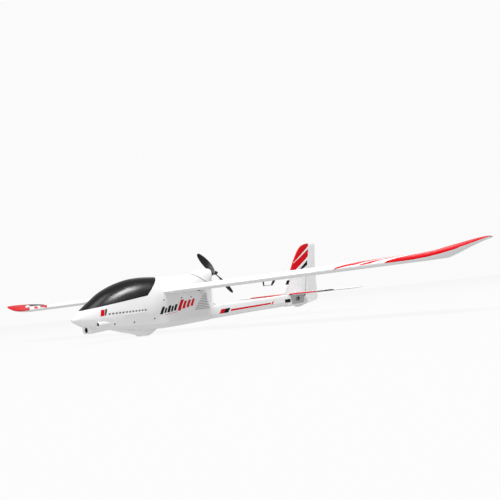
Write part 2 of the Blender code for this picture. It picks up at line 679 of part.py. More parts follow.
washer = turned("prop_washer", at(0, HUB_END + GAP, MOTOR_HEIGHT), MOTOR_AXIS,
                [(0.0, 0.0055), (0.0012, 0.0055)], STEEL)
nut = turned("prop_nut", at(0, NUT_START, MOTOR_HEIGHT), MOTOR_AXIS,
             [(0.0, 0.0048), (NUT_LENGTH, 0.0048)], STEEL, sides=6)
for ring, length in ((washer, 0.0012), (nut, NUT_LENGTH)):
    combine(ring, [turned("stud_bore", at(0, HUB_END - 0.01, MOTOR_HEIGHT), MOTOR_AXIS,
                          [(0.0, STUD_RADIUS + GAP), (0.03, STUD_RADIUS + GAP)])], 'DIFFERENCE')
    ring.data.materials.clear()
    ring.data.materials.append(STEEL)


# ---------------------------------------------------------------- control surfaces
def hinge_prism(name, start, end, front_gap, bevel, spread):
    """Space behind a hinge line. bevel slopes its front face both ways from the line."""
    axis = (end - start).normalized()
    first = start + axis * -spread
    last = end + axis * spread
    tall = 0.03
    deep = 0.12
    slope = tall * math.tan(BEVEL_ANGLE) if bevel else 0.0
    profile = [(front_gap, 0.0), (front_gap + slope, tall), (deep, tall), (deep, -tall), (front_gap + slope, -tall)]
    rings = [[corner + Vector((0, b, u)) for b, u in profile] for corner in (first, last)]
    return solid(name, loft(rings))


def make_wing(side, word):
    stations = [WING_ROOT_X + GAP] + [TIP_START * share for share in (0.24, 0.42, 0.65, 0.89, 1.0)]
    stations += [TIP_START + TIP_LENGTH * share for share in (0.22, 0.42, 0.58, 0.72, 0.84, 0.93, 0.98, 1.0)]
    panel = solid("wing_" + word, loft([wing_ring(x, side) for x in stations]))
    whole = solid("aileron_" + word, loft([wing_ring(x, side) for x in stations]))

    ends = []
    for x in (AILERON_INNER, AILERON_OUTER):
        station, height, _ = wing_point(x, AILERON_HINGE)
        ends.append(at(side * x, station, height))
    cut = hinge_prism("aileron_gap", ends[0], ends[1], -HINGE_GAP, False, HINGE_GAP)
    keep = hinge_prism("aileron_keep", ends[0], ends[1], 0.0, True, -HINGE_GAP)
    combine(whole, [keep], 'INTERSECT')
    whole.data.materials.clear()
    whole.data.materials.append(WHITE_FOAM)

    spar_station, spar_height, _ = wing_point(WING_ROOT_X, SPAR_CHORD)
    joiner_station, joiner_height, _ = wing_point(WING_ROOT_X, JOINER_CHORD)
    spar = turned("spar_channel", at(0, spar_station, spar_height), (side, 0, 0),
                  [(0.0, SPAR_RADIUS + TUBE_GAP), (SPAR_REACH + 0.002, SPAR_RADIUS + TUBE_GAP)])
    joiner = turned("joiner_channel", at(0, joiner_station, joiner_height), (side, 0, 0),
                    [(0.0, JOINER_RADIUS + TUBE_GAP), (JOINER_REACH + 0.002, JOINER_RADIUS + TUBE_GAP)], sides=14)
    bottom = servo_bottom()
    case_low = WING_SERVO_AXIS + SERVO_AXIS_OFFSET - SERVO_LENGTH
    case_high = WING_SERVO_AXIS + SERVO_AXIS_OFFSET
    inner, outer = WING_SERVO_X, WING_SERVO_X + SERVO_DEPTH
    pocket = box("servo_pocket", *corners(side, inner - GAP, outer + GAP, case_low - GAP, case_high + GAP,
                                          bottom - 0.02, bottom + SERVO_WIDTH + GAP))
    slot = box("arm_slot", *corners(side, outer, outer + SERVO_BOSS + ARM_THICKNESS + 4 * GAP + 0.0030,
                                    WING_SERVO_AXIS - 0.0095, WING_SERVO_AXIS + 0.0095,
                                    bottom - 0.02, bottom + SERVO_WIDTH + GAP))
    combine(panel, [cut, spar, joiner, pocket, slot], 'DIFFERENCE')
    panel.data.materials.clear()
    panel.data.materials.append(WHITE_FOAM)


def corners(side, x_low, x_high, s_low, s_high, h_low, h_high):
    """Low and high corner of a box that is mirrored to the given side."""
    a, b = sorted((side * x_low, side * x_high))
    return at(a, s_low, h_low), at(b, s_high, h_high)


def servo_bottom():
    """Height of the wing's lower skin at the servo."""
    leading, trailing, _ = wing_plan(WING_SERVO_X)
    share = (WING_SERVO_AXIS - leading) / (trailing - leading)
    _, middle, half = wing_point(WING_SERVO_X, share)
    return middle - half


def make_servo(name, side, x_inner, axis_station, axis_height, case_back=True):
    """Servo case lying on its side, its output boss facing away from the centre plane."""
    reach = SERVO_AXIS_OFFSET if case_back else SERVO_LENGTH - SERVO_AXIS_OFFSET
    high = axis_station + reach
    low = high - SERVO_LENGTH
    case = box(name, *corners(side, x_inner, x_inner + SERVO_DEPTH, low, high,
                              axis_height - SERVO_WIDTH / 2, axis_height + SERVO_WIDTH / 2))
    boss = turned("boss", at(side * (x_inner + SERVO_DEPTH - 0.002), axis_station, axis_height), (side, 0, 0),
                  [(0.0, 0.0055), (0.002 + SERVO_BOSS, 0.0050)])
    combine(case, [boss], 'UNION')
    case.data.materials.clear()
    case.data.materials.append(DARK_BLUE)
    return x_inner + SERVO_DEPTH + SERVO_BOSS + GAP


def arm_outline(station, height, length, turn):
    """Pear-shaped arm: a hub circle and a smaller tip circle; turn is the way it points."""
    outline = []
    point = Vector((math.cos(turn), math.sin(turn)))
    for centre, radius, start in ((0.0, 0.0036, 90), (length, 0.0019, -90)):
        for i in range(9):
            angle = turn + math.radians(start + 180 * i / 8)
            spot = point * centre + Vector((math.cos(angle), math.sin(angle))) * radius
            outline.append((station + spot.x, height + spot.y))
    return outline


def make_arm(name, side, x_face, station, height, length, turn):
    low, high = sorted((side * x_face, side * (x_face + ARM_THICKNESS)))
    arm = plate(name, arm_outline(station, height, length, turn), low, high, BLACK)
    return x_face + ARM_THICKNESS + GAP


def make_rod(name, side, x_face, first, last, height):
    """Pushrod of round wire with an eye block at each end, beside the arm and the horn."""
    x = side * (x_face + ROD_RADIUS + 0.0002)
    rod = turned(name, at(x, first, height), (0, 1, 0), [(0.0, ROD_RADIUS), (last - first, ROD_RADIUS)], STEEL, sides=10)
    eyes = []
    for station in (first, last):
        low, high = sorted((side * (x_face + 0.0001), side * (x_face + 2 * ROD_RADIUS + 0.0006)))
        eyes.append(box("eye", at(low, station - 0.0028, height - 0.0017), at(high, station + 0.0028, height + 0.0017)))
    combine(rod, eyes, 'UNION')
    rod.data.materials.clear()
    rod.data.materials.append(STEEL)
    return rod


for side, word in ((1, "port"), (-1, "starboard")):
    make_wing(side, word)
    servo_height = servo_bottom() + SERVO_WIDTH / 2
    arm_face = make_servo("aileron_servo_" + word, side, WING_SERVO_X, WING_SERVO_AXIS, servo_height)
    arm_length = servo_height - WING_HORN_HEIGHT
    rod_face = make_arm("aileron_arm_" + word, side, arm_face, WING_SERVO_AXIS, servo_height, arm_length, -math.pi / 2)
    horn_x = arm_face
    hinge_station, hinge_height, _ = wing_point(horn_x, AILERON_HINGE)
    make_rod("aileron_rod_" + word, side, rod_face, WING_SERVO_AXIS, hinge_station, WING_HORN_HEIGHT)
    leading, trailing, _ = wing_plan(horn_x)
    skin = []
    for back in (0.0080, 0.0185):
        share = (hinge_station + back - leading) / (trailing - leading)
        station, middle, half = wing_point(horn_x, share)
        skin.append((station, middle - half - GAP))
    low, high = sorted((side * horn_x, side * (horn_x + ARM_THICKNESS)))
    plate("aileron_horn_" + word,
          [skin[0], (hinge_station - 0.0018, WING_HORN_HEIGHT + 0.0022), (hinge_station - 0.0022, WING_HORN_HEIGHT - 0.0008),
           (hinge_station - 0.0008, WING_HORN_HEIGHT - 0.0022), (hinge_station + 0.0014, WING_HORN_HEIGHT - 0.0020),
           (hinge_station + 0.0150, WING_HORN_HEIGHT + 0.0080), skin[1]], low, high, BLACK)

spar_station, spar_height, _ = wing_point(WING_ROOT_X, SPAR_CHORD)
joiner_station, joiner_height, _ = wing_point(WING_ROOT_X, JOINER_CHORD)
spar = turned("wing_spar", at(-SPAR_REACH, spar_station, spar_height), (1, 0, 0),
              [(0.0, SPAR_RADIUS), (2 * SPAR_REACH, SPAR_RADIUS)], CARBON)
combine(spar, [turned("spar_inside", at(-SPAR_REACH - 0.01, spar_station, spar_height), (1, 0, 0),
                      [(0.0, SPAR_BORE), (2 * SPAR_REACH + 0.02, SPAR_BORE)])], 'DIFFERENCE')
spar.data.materials.clear()
spar.data.materials.append(CARBON)
turned("wing_joiner", at(-JOINER_REACH, joiner_station, joiner_height), (1, 0, 0),
       [(0.0, JOINER_RADIUS), (2 * JOINER_REACH, JOINER_RADIUS)], CARBON, sides=14)


# ---------------------------------------------------------------- tail
def stab_plan(x):
    """Leading and trailing edge of the tailplane at a distance from the centre."""
    leading = STAB_LE + STAB_SWEEP * x
    trailing = STAB_TE - 0.012 * x / STAB_HALF_SPAN
    start = STAB_HALF_SPAN - 0.045
    if x > start:
        share = (x - start) / (STAB_HALF_SPAN - start)
        left = max(0.15, math.sqrt(max(0.0, 1 - share ** 2.4)))
        middle = leading * 0.45 + trailing * 0.55
        leading = middle - (middle - leading) * left
        trailing = middle + (trailing - middle) * left
    return leading, trailing


def stab_ring(x):
    leading, trailing = stab_plan(abs(x))
    return airfoil_ring(leading, trailing, STAB_THICKNESS / (STAB_TE - STAB_LE), 0.0,
                        lambda s, h: at(x, s, STAB_HEIGHT + h), steps=9)


def stab_loft(name):
    outer = STAB_HALF_SPAN - 0.045
    half = [0.02, 0.14, outer] + [outer + 0.045 * share for share in (0.3, 0.55, 0.75, 0.9, 0.98, 1.0)]
    return solid(name, loft([stab_ring(x) for x in [-v for v in reversed(half)] + half]))


def fin_hinge(height):
    """Station of the rudder's hinge line at a height."""
    share = (height - RUDDER_BOTTOM) / (FIN_TOP - RUDDER_BOTTOM)
    return RUDDER_LOW_STATION + (RUDDER_TOP_STATION - RUDDER_LOW_STATION) * share


# height, leading edge, half thickness of the fin
FIN = [
    (FIN_BASE, 0.9460, 0.0048),
    (0.050, 0.9690, 0.0048),
    (0.101, 1.0040, 0.0046),
    (0.140, 1.0310, 0.0044),
    (0.174, 1.0600, 0.0042),
    (0.188, 1.0760, 0.0040),
    (0.197, 1.0920, 0.0036),
    (0.203, 1.1140, 0.0030),
    (FIN_TOP, 1.1300, 0.0022),
]

# height, trailing edge of the rudder
RUDDER = [
    (RUDDER_BOTTOM, 1.1000),
    (-0.0250, 1.1260),
    (-0.0210, 1.1500),
    (-0.0160, 1.1630),
    (-0.0080, 1.1680),
    (0.0150, 1.1685),
    (0.0600, 1.1685),
    (0.1200, 1.1725),
    (0.1750, 1.1810),
    (0.1950, OVERALL_LENGTH),
    (0.2015, 1.1845),
    (0.2045, 1.1810),
    (FIN_TOP, 1.1740),
]


def make_fin():
    rings = []
    for height, leading, half in FIN:
        hinge = fin_hinge(height) - HINGE_GAP
        chord = hinge - leading
        outline = [(0.0, 0.0), (0.03, 0.42), (0.12, 0.80), (0.35, 1.0), (0.70, 0.88), (1.0, 0.66)]
        port = [at(half * w, leading + chord * share, height) for share, w in outline]
        starboard = [at(-half * w, leading + chord * share, height) for share, w in reversed(outline[1:])]
        rings.append(port + starboard)
    made = solid("fin", loft(rings), WHITE_FOAM)
    foot = plate("foot", [(0.9440, 0.0127), (0.9632, 0.0127), (0.9632, FIN_BASE + 0.004), (0.9490, FIN_BASE + 0.004)],
                 -0.0030, 0.0030)
    combine(made, [foot], 'UNION')
    combine(made, bolt_holes(), 'DIFFERENCE')
    made.data.materials.clear()
    made.data.materials.append(WHITE_FOAM)
    return made


BOLT_STATIONS = (1.0330, 1.0470)
BLOCK_TOP = STAB_HEIGHT - STAB_THICKNESS / 2 - GAP


def block_bottom(station):
    return -0.0335 + (station - BLOCK_START) * 0.010


def bolt_holes():
    return [turned("bolt_hole", at(0, station, -0.05), (0, 0, 1), [(0.0, BOLT_RADIUS + GAP), (0.10, BOLT_RADIUS + GAP)], sides=12)
            for station in BOLT_STATIONS]


def make_rudder():
    rings = []
    for height, trailing in RUDDER:
        hinge = fin_hinge(height)
        front = 0.0032 - 0.0004 * height / FIN_TOP
        end = EDGE
        port = [(hinge, 0.00015), (hinge + front / math.tan(math.pi / 2 - BEVEL_ANGLE) + 0.0005, front), (trailing, end)]
        ring = [at(w, s, height) for s, w in port] + [at(-w, s, height) for s, w in reversed(port)]
        rings.append(ring)
    return solid("rudder", loft(rings), WHITE_FOAM)


def make_stabilizer():
    made = stab_loft("stabilizer")
    for side in (1, -1):
        ends = [at(side * x, ELEVATOR_HINGE, STAB_HEIGHT) for x in (ELEVATOR_INNER, ELEVATOR_OUTER)]
        keep = hinge_prism("elevator_keep", ends[0], ends[1], 0.0, True, -HINGE_GAP)
        half = stab_loft("elevator_port" if side > 0 else "elevator_starboard")
        combine(half, [keep], 'INTERSECT')
        combine(half, [joiner_wire("wire_bore", ROD_RADIUS + 0.0006 + GAP)], 'DIFFERENCE')
        half.data.materials.clear()
        half.data.materials.append(WHITE_FOAM)
    start = at(-ELEVATOR_OUTER, ELEVATOR_HINGE, STAB_HEIGHT)
    end = at(ELEVATOR_OUTER, ELEVATOR_HINGE, STAB_HEIGHT)
    cut = hinge_prism("elevator_gap", start, end, -HINGE_GAP, False, HINGE_GAP)
    combine(made, [cut] + bolt_holes(), 'DIFFERENCE')
    made.data.materials.clear()
    made.data.materials.append(WHITE_FOAM)


WIRE_BACK = 0.0065           # joiner wire behind the elevator hinge
WIRE_REACH = 0.0240


def joiner_wire(name, radius, finish=None):
    reach = WIRE_REACH if finish else WIRE_REACH + GAP
    return turned(name, at(-reach, ELEVATOR_HINGE + WIRE_BACK, STAB_HEIGHT), (1, 0, 0),
                  [(0.0, radius), (2 * reach, radius)], finish, sides=12)


def make_tail_block():
    """Foam block that plugs into the boom and carries the tailplane, fin and two servos."""
    rear = RUDDER_LOW_STATION - 0.0035
    step = STAB_LE - 0.0020
    raised = between(BOOM, BOOM_END)[1]
    profile = [(BLOCK_START, 0.0153, raised), (step, 0.0153, raised), (step + 0.0003, 0.0153, BLOCK_TOP),
               (1.0280, BLOCK_HALF_WIDTH, BLOCK_TOP), (1.0480, BLOCK_REAR_HALF_WIDTH, BLOCK_TOP),
               (rear, BLOCK_REAR_HALF_WIDTH * 0.8, BLOCK_TOP)]
    rings = []
    for station, wide, top in profile:
        low = block_bottom(station)
        half = [(wide * 0.6, low), (wide, low + 0.006), (wide, top)]
        rings.append([at(x, station, h) for x, h in half] + [at(-x, station, h) for x, h in reversed(half)])
    made = solid("tail_block", loft(rings))
    tenon_first = BOOM_END - TENON_LENGTH
    tenon = boom_loft("tenon", tenon_first, BLOCK_START + 0.004, SKIN + GAP)
    combine(made, [tenon], 'UNION')
    tools = bolt_holes()
    for side, axis, height, back in ((1, ELEVATOR_SERVO_AXIS, ELEVATOR_SERVO_HEIGHT, True),
                                     (-1, RUDDER_SERVO_AXIS, RUDDER_SERVO_HEIGHT, False)):
        reach = SERVO_AXIS_OFFSET if back else SERVO_LENGTH - SERVO_AXIS_OFFSET
        high = axis + reach + GAP
        low = high - SERVO_LENGTH - 2 * GAP
        inner = BLOCK_HALF_WIDTH - SERVO_DEPTH - GAP
        tools.append(box("servo_seat", *corners(side, inner, 0.05, low, high,
                                                height - SERVO_WIDTH / 2 - GAP, height + SERVO_WIDTH / 2 + GAP)))
    for station in BOLT_STATIONS:
        tools.append(turned("head_seat", at(0, station, -0.05), (0, 0, 1),
                            [(0.0, BOLT_HEAD + GAP), (0.05 + block_bottom(station) + 0.0040, BOLT_HEAD + GAP)], sides=12))
    combine(made, tools, 'DIFFERENCE')
    made.data.materials.clear()
    made.data.materials.append(WHITE_FOAM)


make_fin()
make_rudder()
make_stabilizer()
make_tail_block()
joiner_wire("elevator_joiner", ROD_RADIUS + 0.0006, STEEL)
for number, station in enumerate(BOLT_STATIONS, 1):
    seat = block_bottom(station) + 0.0040 - GAP
    turned("tail_bolt_%d" % number, at(0, station, seat), (0, 0, 1),
           [(-0.0030, BOLT_HEAD), (0.0, BOLT_HEAD), (0.00001, BOLT_RADIUS), (FIN_BASE + 0.012 - seat, BOLT_RADIUS)], STEEL, sides=12)

skid_outline = [(1.0080, block_bottom(1.0080) - GAP), (1.0180, -0.0375), (1.0270, -0.0398), (1.0360, -0.0398),
                (1.0530, -0.0372), (1.0710, block_bottom(1.0710) - GAP)]
plate("tail_skid", skid_outline, -0.0045, 0.0045, WHITE_SHELL)

# Tail servos, arms, rods and horns
inner_x = BLOCK_HALF_WIDTH - SERVO_DEPTH
arm_face = make_servo("elevator_servo", 1, inner_x, ELEVATOR_SERVO_AXIS, ELEVATOR_SERVO_HEIGHT)
rod_face = make_arm("elevator_arm", 1, arm_face, ELEVATOR_SERVO_AXIS, ELEVATOR_SERVO_HEIGHT, ELEVATOR_ARM_LENGTH, math.pi / 2)
horn_height = ELEVATOR_SERVO_HEIGHT + ELEVATOR_ARM_LENGTH
make_rod("elevator_rod", 1, rod_face, ELEVATOR_SERVO_AXIS, ELEVATOR_HINGE, horn_height)
under = STAB_HEIGHT - STAB_THICKNESS / 2
plate("elevator_horn",
      [(ELEVATOR_HINGE + 0.0060, under - GAP), (ELEVATOR_HINGE - 0.0018, horn_height + 0.0022),
       (ELEVATOR_HINGE - 0.0022, horn_height - 0.0008), (ELEVATOR_HINGE - 0.0008, horn_height - 0.0022),
       (ELEVATOR_HINGE + 0.0014, horn_height - 0.0020), (ELEVATOR_HINGE + 0.0120, horn_height + 0.0060),
       (ELEVATOR_HINGE + 0.0150, under - GAP)], arm_face, arm_face + ARM_THICKNESS, BLACK)

arm_face = make_servo("rudder_servo", -1, inner_x, RUDDER_SERVO_AXIS, RUDDER_SERVO_HEIGHT, case_back=False)
rod_face = make_arm("rudder_arm", -1, arm_face, RUDDER_SERVO_AXIS, RUDDER_SERVO_HEIGHT, RUDDER_ARM_LENGTH, -math.pi / 2)
rod_height = RUDDER_SERVO_HEIGHT - RUDDER_ARM_LENGTH
rudder_pivot = fin_hinge(rod_height)
make_rod("rudder_rod", -1, rod_face, RUDDER_SERVO_AXIS, rudder_pivot, rod_height)
horn_top = rod_height - 0.0017 - RUDDER_EYE_GAP
base_x = 0.0036
outline = [(-base_x, 0.0040), (-0.0190, -0.0022), (-0.0222, -0.0022), (-0.0236, 0.0), (-0.0222, 0.0024),
           (-0.0190, 0.0060), (-base_x, 0.0170)]
horn = solid("rudder_horn", loft([[at(x, rudder_pivot + back, height) for x, back in outline]
                                  for height in (horn_top - ARM_THICKNESS, horn_top)]), BLACK)

# Screws that hold the wing panels to the root stub
for side, word in ((1, "port"), (-1, "starboard")):
    leading, trailing, _ = wing_plan(WING_SCREW_X)
    _, middle, half = wing_point(WING_SCREW_X, (WING_SCREW_STATION - leading) / (trailing - leading))
    turned("wing_screw_" + word, at(side * WING_SCREW_X, WING_SCREW_STATION, middle - half - GAP), (0, 0, -1),
           [(0.0, 0.0040), (0.0016, 0.0040), (0.0024, 0.0028)], BLACK, sides=14)

# Origins of the moving parts, each on its own joint axis
for side, word in ((1, "port"), (-1, "starboard")):
    ends = []
    for x in (AILERON_INNER, AILERON_OUTER):
        station, height, _ = wing_point(x, AILERON_HINGE)
        ends.append(at(side * x, station, height))
    pivot(["aileron_" + word, "aileron_horn_" + word], (ends[0] + ends[1]) / 2)
    pivot(["aileron_arm_" + word], at(side * horn_x, WING_SERVO_AXIS, servo_height))
pivot(["elevator_port", "elevator_starboard", "elevator_joiner", "elevator_horn"], at(0, ELEVATOR_HINGE, STAB_HEIGHT))
pivot(["elevator_arm"], at(inner_x + SERVO_DEPTH, ELEVATOR_SERVO_AXIS, ELEVATOR_SERVO_HEIGHT))
rudder_middle = (RUDDER_BOTTOM + FIN_TOP) / 2
pivot(["rudder", "rudder_horn"], at(0, fin_hinge(rudder_middle), rudder_middle))
pivot(["rudder_arm"], at(-inner_x - SERVO_DEPTH, RUDDER_SERVO_AXIS, RUDDER_SERVO_HEIGHT))
pivot(["motor_bell", "motor_shaft", "prop_adapter", "propeller", "prop_washer", "prop_nut"],
      at(0, HUB_START, MOTOR_HEIGHT))
front = min((corner.co for corner in canopy.data.vertices), key=lambda place: (round(place.y, 4), place.z))
pivot(["canopy"], Vector((0, front.y, front.z)))
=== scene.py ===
import json
import math

import bmesh
import bpy
from mathutils import Matrix, Vector

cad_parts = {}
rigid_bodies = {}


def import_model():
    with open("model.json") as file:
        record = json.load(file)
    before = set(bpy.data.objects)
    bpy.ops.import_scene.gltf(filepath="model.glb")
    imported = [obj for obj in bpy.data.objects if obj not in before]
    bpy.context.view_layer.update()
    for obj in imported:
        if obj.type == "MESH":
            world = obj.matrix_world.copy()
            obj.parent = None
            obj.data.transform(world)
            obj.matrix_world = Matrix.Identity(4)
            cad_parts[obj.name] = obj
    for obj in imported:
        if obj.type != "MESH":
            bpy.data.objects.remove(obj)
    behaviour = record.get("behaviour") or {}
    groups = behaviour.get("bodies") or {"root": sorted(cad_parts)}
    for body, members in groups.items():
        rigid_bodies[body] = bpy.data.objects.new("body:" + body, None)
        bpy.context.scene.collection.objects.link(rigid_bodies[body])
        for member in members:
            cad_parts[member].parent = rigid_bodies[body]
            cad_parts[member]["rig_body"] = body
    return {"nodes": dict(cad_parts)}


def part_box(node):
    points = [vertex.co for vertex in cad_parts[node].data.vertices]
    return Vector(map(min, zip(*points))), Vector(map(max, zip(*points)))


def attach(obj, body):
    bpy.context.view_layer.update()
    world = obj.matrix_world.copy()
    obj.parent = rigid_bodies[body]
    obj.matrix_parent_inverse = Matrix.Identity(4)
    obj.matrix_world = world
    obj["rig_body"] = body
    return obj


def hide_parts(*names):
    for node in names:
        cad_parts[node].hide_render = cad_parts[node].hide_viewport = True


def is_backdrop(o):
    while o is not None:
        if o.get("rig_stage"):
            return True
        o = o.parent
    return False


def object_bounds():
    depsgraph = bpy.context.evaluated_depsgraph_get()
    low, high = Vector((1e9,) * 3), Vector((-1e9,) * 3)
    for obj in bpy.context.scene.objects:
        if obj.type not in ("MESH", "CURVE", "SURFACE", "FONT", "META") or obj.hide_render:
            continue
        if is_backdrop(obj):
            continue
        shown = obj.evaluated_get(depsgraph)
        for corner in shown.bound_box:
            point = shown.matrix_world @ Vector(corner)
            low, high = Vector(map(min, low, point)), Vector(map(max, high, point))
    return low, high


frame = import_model()
cad_low, cad_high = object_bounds()

# ---------------------------------------------------------------- camera
# The model is seen from just below wing level, ahead of it and to port, with the horizon
# leaning a little. The pad under it is white, so it runs into the white surround.
CAMERA_AZIMUTH = math.radians(45.09)
CAMERA_ELEVATION = math.radians(-1.14)
CAMERA_ROLL = math.radians(-6.05)

camera_data = bpy.data.cameras.new("camera")
camera_data.lens = 46.94
camera_data.sensor_width = 36.0
camera_data.shift_x = 0.103
camera_data.shift_y = 0.084
camera_data.clip_start = 0.01
camera_data.clip_end = 200.0
camera = bpy.data.objects.new("camera", camera_data)
bpy.context.scene.collection.objects.link(camera)
back = Vector((math.sin(CAMERA_AZIMUTH) * math.cos(CAMERA_ELEVATION),
               -math.cos(CAMERA_AZIMUTH) * math.cos(CAMERA_ELEVATION), math.sin(CAMERA_ELEVATION)))
level = Vector((math.cos(CAMERA_AZIMUTH), math.sin(CAMERA_AZIMUTH), 0.0))
upright = back.cross(level)
across = level * math.cos(CAMERA_ROLL) + upright * math.sin(CAMERA_ROLL)
upward = back.cross(across)
turned = Matrix((across, upward, back)).transposed()
camera.matrix_world = Matrix.Translation((1.519, -1.6065, 0.075)) @ turned.to_4x4()
bpy.context.scene.camera = camera

# ---------------------------------------------------------------- moulded fuselage
# Thin blow-moulded white plastic, satin, with the colours put on as water-slide decals.
# It is one shell with the pod, the pylon and the tail boom; the seams show as fine lines.
NOSE = cad_low.y             # stations are measured aft from here, heights up from the ground
SHELL_WHITE = (0.77, 0.77, 0.775)
DECAL_RED = (0.58, 0.001, 0.007)
DECAL_BLACK = (0.004, 0.004, 0.005)
# dark grey for the cowl seam line, and for the painted shade of the rudder hinge gap
SEAM_AND_SHADE_GREY = (0.06, 0.06, 0.07)


class Flow:
    """A number on its way through a finish. Sums on it add the Math nodes."""

    def __init__(self, finish, socket):
        self.finish = finish
        self.socket = socket

    def maths(self, operation, *values):
        return self.finish.add("ShaderNodeMath", {"operation": operation}, *values)

    def __add__(self, other):
        return self.maths("ADD", self, other)

    __radd__ = __add__

    def __sub__(self, other):
        return self.maths("SUBTRACT", self, other)

    def __rsub__(self, other):
        return self.maths("SUBTRACT", other, self)

    def __mul__(self, other):
        return self.maths("MULTIPLY", self, other)

    __rmul__ = __mul__

    def __truediv__(self, other):
        return self.maths("DIVIDE", self, other)

    def __gt__(self, other):
        return self.maths("GREATER_THAN", self, other)

    def __lt__(self, other):
        return self.maths("LESS_THAN", self, other)

    def __abs__(self):
        return self.maths("ABSOLUTE", self)

    def either(self, other):
        return self.maths("MAXIMUM", self, other)

    def ramp(self, low, high):
        """0 below low, 1 above high, and a soft slope between them."""
        return self.finish.add("ShaderNodeMapRange", {"interpolation_type": 'SMOOTHSTEP', "clamp": True},
                               self, low, high, 0.0, 1.0)


class Finish:
    """A Principled material that is built up from expressions."""

    def __init__(self, name, colour, roughness, metallic=0.0, coat=0.0, specular=0.5):
        self.material = bpy.data.materials.new(name)
        self.material.use_nodes = True
        self.tree = self.material.node_tree
        self.shader = self.tree.nodes["Principled BSDF"]
        self.shader.inputs["Roughness"].default_value = roughness
        self.shader.inputs["Metallic"].default_value = metallic
        self.shader.inputs["Coat Weight"].default_value = coat
        self.shader.inputs["Coat Roughness"].default_value = 0.06
        self.shader.inputs["Specular IOR Level"].default_value = specular
        self.colour = (*colour, 1.0)
        where = self.tree.nodes.new("ShaderNodeTexCoord")
        self.points = where.outputs["Object"]
        self.facing = where.outputs["Normal"]
        self.x, self.y, self.z = self.split(self.points)

    def add(self, kind, settings, *values, out=0):
        node = self.tree.nodes.new(kind)
        for name, value in settings.items():
            setattr(node, name, value)
        for slot, value in zip(node.inputs, values):
            self.feed(slot, value)
        return Flow(self, node.outputs[out])

    def feed(self, slot, value):
        if isinstance(value, Flow):
            self.tree.links.new(value.socket, slot)
        elif isinstance(value, bpy.types.NodeSocket):
            self.tree.links.new(value, slot)
        elif value is not None:
            slot.default_value = value

    def split(self, socket):
        node = self.tree.nodes.new("ShaderNodeSeparateXYZ")
        self.tree.links.new(socket, node.inputs[0])
        return [Flow(self, out) for out in node.outputs]

    def noise(self, scale, detail=2.0, roughness=0.5, points=None):
        node = self.tree.nodes.new("ShaderNodeTexNoise")
        for name, value in (("Scale", scale), ("Detail", detail), ("Roughness", roughness)):
            node.inputs[name].default_value = value
        self.feed(node.inputs["Vector"], points or self.points)
        return Flow(self, node.outputs["Fac"])

    def stretched(self, scale):
        """Object place scaled by a different amount along each axis."""
        node = self.tree.nodes.new("ShaderNodeMapping")
        node.inputs["Scale"].default_value = scale
        self.tree.links.new(self.points, node.inputs["Vector"])
        return node.outputs["Vector"]

    def beads(self, scale):
        """Distance to the edges of foam beads of about 1 / scale metres."""
        node = self.tree.nodes.new("ShaderNodeTexVoronoi")
        node.feature = 'DISTANCE_TO_EDGE'
        node.inputs["Scale"].default_value = scale
        self.tree.links.new(self.points, node.inputs["Vector"])
        return Flow(self, node.outputs["Distance"])

    def paint(self, colour, mask):
        """Lay a colour over what is there, where mask is 1."""
        node = self.tree.nodes.new("ShaderNodeMix")
        node.data_type = 'RGBA'
        self.feed(node.inputs[0], mask)
        self.feed(node.inputs[6], self.colour)
        self.feed(node.inputs[7], (*colour, 1.0))
        self.colour = node.outputs[2]

    def patch(self, u, v, corners):
        """1 inside a convex outline of (u, v) corners."""
        area = sum(a[0] * b[1] - b[0] * a[1] for a, b in zip(corners, corners[1:] + corners[:1]))
        ring = corners if area > 0 else corners[::-1]
        mask = None
        for (ua, va), (ub, vb) in zip(ring, ring[1:] + ring[:1]):
            du, dv = ub - ua, vb - va
            inside = self.add("ShaderNodeMath", {"operation": 'MULTIPLY_ADD'}, v, du, dv * ua - du * va)
            inside = self.add("ShaderNodeMath", {"operation": 'MULTIPLY_ADD'}, u, -dv, inside) > 0.0
            mask = inside if mask is None else mask * inside
        return mask

    def done(self, roughness=None, bump=None, strength=0.2, distance=0.0005, metallic=None):
        self.feed(self.shader.inputs["Base Color"], self.colour)
        if roughness is not None:
            self.feed(self.shader.inputs["Roughness"], roughness)
        if metallic is not None:
            self.feed(self.shader.inputs["Metallic"], metallic)
        if bump is not None:
            node = self.tree.nodes.new("ShaderNodeBump")
            node.inputs["Strength"].default_value = strength
            node.inputs["Distance"].default_value = distance
            self.tree.links.new(bump.socket, node.inputs["Height"])
            self.tree.links.new(node.outputs["Normal"], self.shader.inputs["Normal"])
        return self.material


def dressed(node, material, sharp=35.0, width=0.0):
    """Seamless copy of a CAD node, with its loose triangles joined, in its own finish."""
    source = frame["nodes"][node]
    bm = bmesh.new()
    bm.from_mesh(source.data)
    bmesh.ops.remove_doubles(bm, verts=bm.verts, dist=1e-5)
    bmesh.ops.dissolve_limit(bm, angle_limit=math.radians(0.4), verts=bm.verts, edges=bm.edges)
    mesh = bpy.data.meshes.new(node + "_skin")
    bm.to_mesh(mesh)
    bm.free()
    mesh.materials.clear()
    mesh.materials.append(material)
    mesh.shade_smooth()
    mesh.set_sharp_from_angle(angle=math.radians(sharp))
    piece = bpy.data.objects.new(node + "_skin", mesh)
    bpy.context.scene.collection.objects.link(piece)
    if width:
        edge = piece.modifiers.new("rounded", 'BEVEL')
        edge.width = width
        edge.segments = 2
        edge.limit_method = 'ANGLE'
        edge.angle_limit = math.radians(40)
        edge.harden_normals = True
    even = piece.modifiers.new("even", 'WEIGHTED_NORMAL')
    even.keep_sharp = True
    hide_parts(node)
    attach(piece, source["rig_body"])
    return piece


def decal(finish, u, v, corners, colour, side=None):
    mask = finish.patch(u, v, corners)
    if side is not None:
        mask = mask * side
    finish.paint(colour, mask)
    return mask


